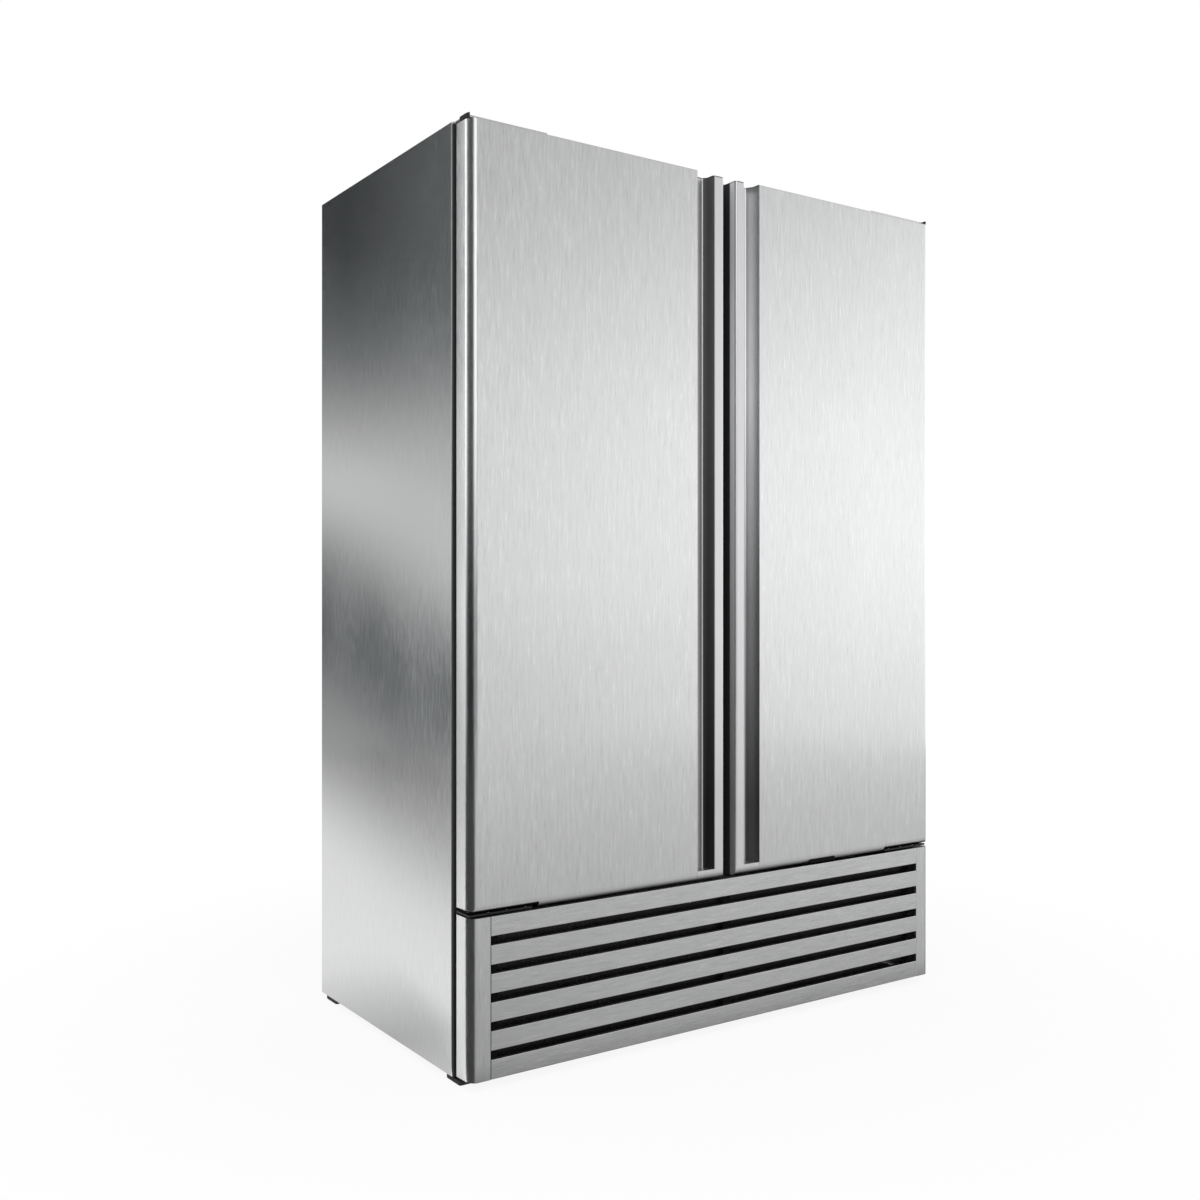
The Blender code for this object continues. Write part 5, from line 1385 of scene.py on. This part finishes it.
class REFRIGERATOR_OT_evaporator(Operator):
    """Evaporator under the roof with its fan, guard, thermostat knob and dial"""
    bl_idname = "refrigerator.evaporator"
    bl_label = "Evaporator"

    def execute(self, context):
        c = context.scene.refrigerator_cooling
        carry_over("grey_epoxy", "evaporator_housing", edge=0.0008)
        carry_over("black_paint", "evaporator_fan_motor", edge=0.0015)
        form = bmesh.new()
        finned_coil(form, *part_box("evaporator_coil"), c, 3)
        piece("evaporator_fins", form, ["aluminium", "copper"], "cabinet", ["evaporator_coil"])
        low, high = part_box("evaporator_fan_blade")
        middle = (low + high) / 2
        form = bmesh.new()
        fan(form, middle, radius=0.085, chord=0.055, c=c, deep=high.y - low.y)
        piece("evaporator_fan", form, ["black_plastic"], "evaporator_fan",
              ["evaporator_fan_blade"], sharp=45)
        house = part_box("evaporator_housing")
        front = house[0].y
        self.guard(Vector((middle.x, front - 0.003, middle.z)), radius=0.097, c=c)
        self.knob(front)
        form = bmesh.new()
        for x in (house[0].x + 0.02, -0.22, 0.22, house[1].x - 0.02):
            for z in (house[0].z + 0.015, house[1].z - 0.015):
                screw(form, (x, front, z), (0, -1, 0), 0.0035)
        piece("evaporator_screws", form, ["zinc"], "cabinet")
        return {"FINISHED"}

    def guard(self, centre, radius, c):
        """Wire rings and spokes over the fan's hole."""
        bulge, rings = 0.006, 7
        turns = [i * pi / 24 for i in range(48)]
        form = bmesh.new()
        for number in range(1, rings + 1):
            r = radius * number / rings
            rise = -bulge * (1 - (r / radius) ** 2)
            tube(form, [centre + Vector((r * cos(a), rise, r * sin(a))) for a in turns], c.guard, 6,
                 True)
        for a in (number * pi / 3 for number in range(6)):
            path = [centre + Vector((radius * s * cos(a), -bulge * (1 - s * s) + 0.0024,
                                     radius * s * sin(a)))
                    for s in (0.10, 0.3, 0.5, 0.7, 0.9, 1.05)]
            tube(form, path, c.guard, 6)
        piece("fan_guard", form, ["black_paint"], "cabinet")

    def knob(self, front):
        """Fluted knob with a grip bar and a white line, and the dial marks round it."""
        low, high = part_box("thermostat_knob")
        middle = ((low.x + high.x) / 2, front - GAP, (low.z + high.z) / 2)
        place = facing(middle, (0, -1, 0))
        steps, flutes, flute = 72, 18, 0.0005
        turns = [2 * pi * i / steps for i in range(steps)]
        # Radius, height and whether it is fluted
        profile = ((0.0040, -0.0078, 0), (0.0040, 0.0, 0), (0.0218, 0.0, 0), (0.0220, 0.0005, 0),
                   (0.0220, 0.0034, 0), (0.0212, 0.0040, 0), (0.0180, 0.0043, 1),
                   (0.0166, 0.0130, 1), (0.0158, 0.0155, 1), (0.0140, 0.0160, 0),
                   (0.0030, 0.0160, 0))
        rings = []
        for r, h, fluted in profile:
            reach = [r + fluted * flute * cos(flutes * a) for a in turns]
            rings.append([place @ Vector((q * cos(a), q * sin(a), h))
                          for q, a in zip(reach, turns)])
        form = bmesh.new()
        loft(form, rings)
        grip = (0.0028, 0.0145, 0.014), (0.0020, 0.0135, 0.0218)
        loft(form, [[place @ Vector((*p, h)) for p in rectangle((-x, -y), (x, y))]
                    for x, y, h in grip])
        line = rectangle((-0.0006, 0.004), (0.0006, 0.0130))
        loft(form, [[place @ Vector((*p, h)) for p in line] for h in (0.0210, 0.02195)], look=1)
        piece("thermostat_grip", form, ["black_plastic", "white_plastic"], "thermostat",
              ["thermostat_knob"])
        form = bmesh.new()
        for number in range(10):
            turned = place @ Matrix.Rotation(radians(225 - 30 * number), 4, "Z")
            wide = 0.0010 if number % 3 else 0.0016
            mark = rectangle((0.0245, -wide / 2), (0.0300, wide / 2))
            loft(form, [[turned @ Vector((*p, h)) for p in mark] for h in (-TINY, 2 * TINY)])
        piece("thermostat_marks", form, ["black_paint"], "cabinet")


class REFRIGERATOR_OT_light(Operator):
    """Ribbed light cover with end caps under the roof"""
    bl_idname = "refrigerator.light"
    bl_label = "Light"

    rail, end = 0.003, 0.012  # height of the flat rail, and length of an end cap
    ribs, rib = 24, 0.02  # ribs round the cover, and their depth over its drop

    def execute(self, context):
        low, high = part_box("interior_light")
        middle, wide = (low.y + high.y) / 2, (high.y - low.y) / 2
        flat = high.z - self.rail
        drop = high.z - low.z - self.rail
        start, stop = (middle + wide, high.z), (middle - wide, high.z)
        curve = [(middle + wide * cos(a),
                  flat - drop * sin(a) * (1 + self.rib * cos(self.ribs * a)) / (1 + self.rib))
                 for a in (pi * i / 48 for i in range(49))]
        cap = [(middle + wide * cos(a), flat - drop * sin(a))
               for a in (pi * i / 24 for i in range(25))]
        form = bmesh.new()
        bar(form, [start, *curve, stop][::-1], "X", low.x + self.end, high.x - self.end)
        short = self.end - 0.0002
        for a, b in ((low.x, low.x + short), (high.x - short, high.x)):
            bar(form, [start, *cap, stop], "X", a, b, 1)
        piece("light_diffuser", form, ["light_cover", "white_plastic"], "cabinet",
              ["interior_light"], edge=0.0006)
        return {"FINISHED"}


class REFRIGERATOR_OT_shelving(Operator):
    """Coated wire shelves on slotted strips"""
    bl_idname = "refrigerator.shelving"
    bl_label = "Shelving"

    def execute(self, context):
        s = context.scene.refrigerator_shelves
        levels = (1, 2, 3)
        for name in SIDES:
            for level in levels:
                self.shelf(f"{name}_shelf_{level}", s)
            for end in ("front", "rear"):
                self.strip(f"{name}_{end}_pilaster", "X", s, levels)
        self.strip("center_rear_pilaster", "Y", s, levels)
        return {"FINISHED"}

    def shelf(self, node, s):
        low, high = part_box(node)
        form = bmesh.new()
        middle = (low.z + high.z) / 2
        a, b = (low.x + s.rim, low.y + s.rim), (high.x - s.rim, high.y - s.rim)
        tube(form, [(p, q, middle) for p, q in round_loop(a, b, s.corner)], s.rim, 10, True)
        for number in range(s.bars):
            x = a[0] + (b[0] - a[0]) * (number + 1) / (s.bars + 1)
            tube(form, [(x, a[1], high.z - s.wire), (x, b[1], high.z - s.wire)], s.wire, 8)
        for t in (0.08, 0.36, 0.64, 0.92):
            y = a[1] + (b[1] - a[1]) * t
            tube(form, [(a[0], y, low.z + s.wire), (b[0], y, low.z + s.wire)], s.wire, 8)
        piece(f"{node}_wires", form, ["grey_epoxy"], "cabinet", [node])

    def strip(self, node, axis, s, levels):
        """Channel with a row of slots and a hooked clip under each shelf."""
        low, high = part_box(node)
        flat = 1 if axis == "X" else 0
        wide, sheet = 0.013, 0.0012
        across = (low[flat] + high[flat]) / 2
        if axis == "X":
            out = -1 if low.x > 0 else 1
            wall = high.x if out < 0 else low.x
        else:
            out, wall = -1, high.y
        face = wall + out * 0.010
        loops = [rectangle((across - wide, low.z), (across + wide, high.z))]
        z = low.z + 0.02
        while z < high.z - 0.02:
            loops.append(rectangle((across - 0.004, z), (across + 0.004, z + 0.0085)))
            z += s.slot_pitch
        form = bmesh.new()
        slab(form, loops, axis, *sorted((face, face - out * sheet)))
        for sign in (-1, 1):
            edge = sorted((across + sign * wide, across + sign * (wide - sheet)))
            leg = rectangle((edge[0], low.z), (edge[1], high.z))
            slab(form, [leg], axis, *sorted((wall, face - out * sheet / 2)))
        half = (0.030 if axis == "Y" else wide) - 0.001
        reach, tail = face + out * 0.022, face - out * 0.003
        for level in levels:
            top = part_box(f"left_shelf_{level}")[0].z - GAP
            hook = [(tail, top - 0.012), (face + out * 0.004, top - 0.012), (reach, top - 0.004),
                    (reach, top), (tail, top)]
            loft(form, [[(p, side, q) if axis == "X" else (side, p, q) for p, q in hook]
                        for side in (across - half, across + half)], look=1)
        piece(f"{node}_strip", form, ["grey_epoxy", "zinc"], "cabinet", [node], edge=0.0004)


class REFRIGERATOR_PT_panel(Panel):
    """Steps that dress the refrigerator"""
    bl_label = "Refrigerator"
    bl_idname = "REFRIGERATOR_PT_panel"
    bl_space_type = "VIEW_3D"
    bl_region_type = "UI"
    bl_category = "Refrigerator"

    def draw(self, context):
        for step in STEPS:
            self.layout.operator(step.bl_idname)
        for name, group in GROUPS.items():
            settings = getattr(context.scene, name)
            box = self.layout.box()
            box.label(text=group.__doc__)
            for key in group.__annotations__:
                box.prop(settings, key)


GROUPS = {"refrigerator_doors": DoorSizes, "refrigerator_case": CaseSizes,
          "refrigerator_cooling": CoolingSizes, "refrigerator_shelves": ShelfSizes,
          "refrigerator_finishes": Finishes, "refrigerator_stage": StageSettings}
STEPS = (REFRIGERATOR_OT_stage, REFRIGERATOR_OT_finishes, REFRIGERATOR_OT_case,
         REFRIGERATOR_OT_rear_cover, REFRIGERATOR_OT_grille, REFRIGERATOR_OT_hinges,
         REFRIGERATOR_OT_feet, REFRIGERATOR_OT_door_faces, REFRIGERATOR_OT_pulls,
         REFRIGERATOR_OT_door_linings, REFRIGERATOR_OT_cooling_unit, REFRIGERATOR_OT_evaporator,
         REFRIGERATOR_OT_light, REFRIGERATOR_OT_shelving)


def register():
    for group in (*GROUPS.values(), *STEPS, REFRIGERATOR_PT_panel):
        bpy.utils.register_class(group)
    for name, group in GROUPS.items():
        setattr(bpy.types.Scene, name, PointerProperty(type=group))


def unregister():
    for name in GROUPS:
        delattr(bpy.types.Scene, name)
    for group in (REFRIGERATOR_PT_panel, *STEPS[::-1], *GROUPS.values()):
        bpy.utils.unregister_class(group)


def main():
    register()
    for step in STEPS:
        family, name = step.bl_idname.split(".")
        getattr(getattr(bpy.ops, family), name)()


if __name__ == "__main__":
    main()
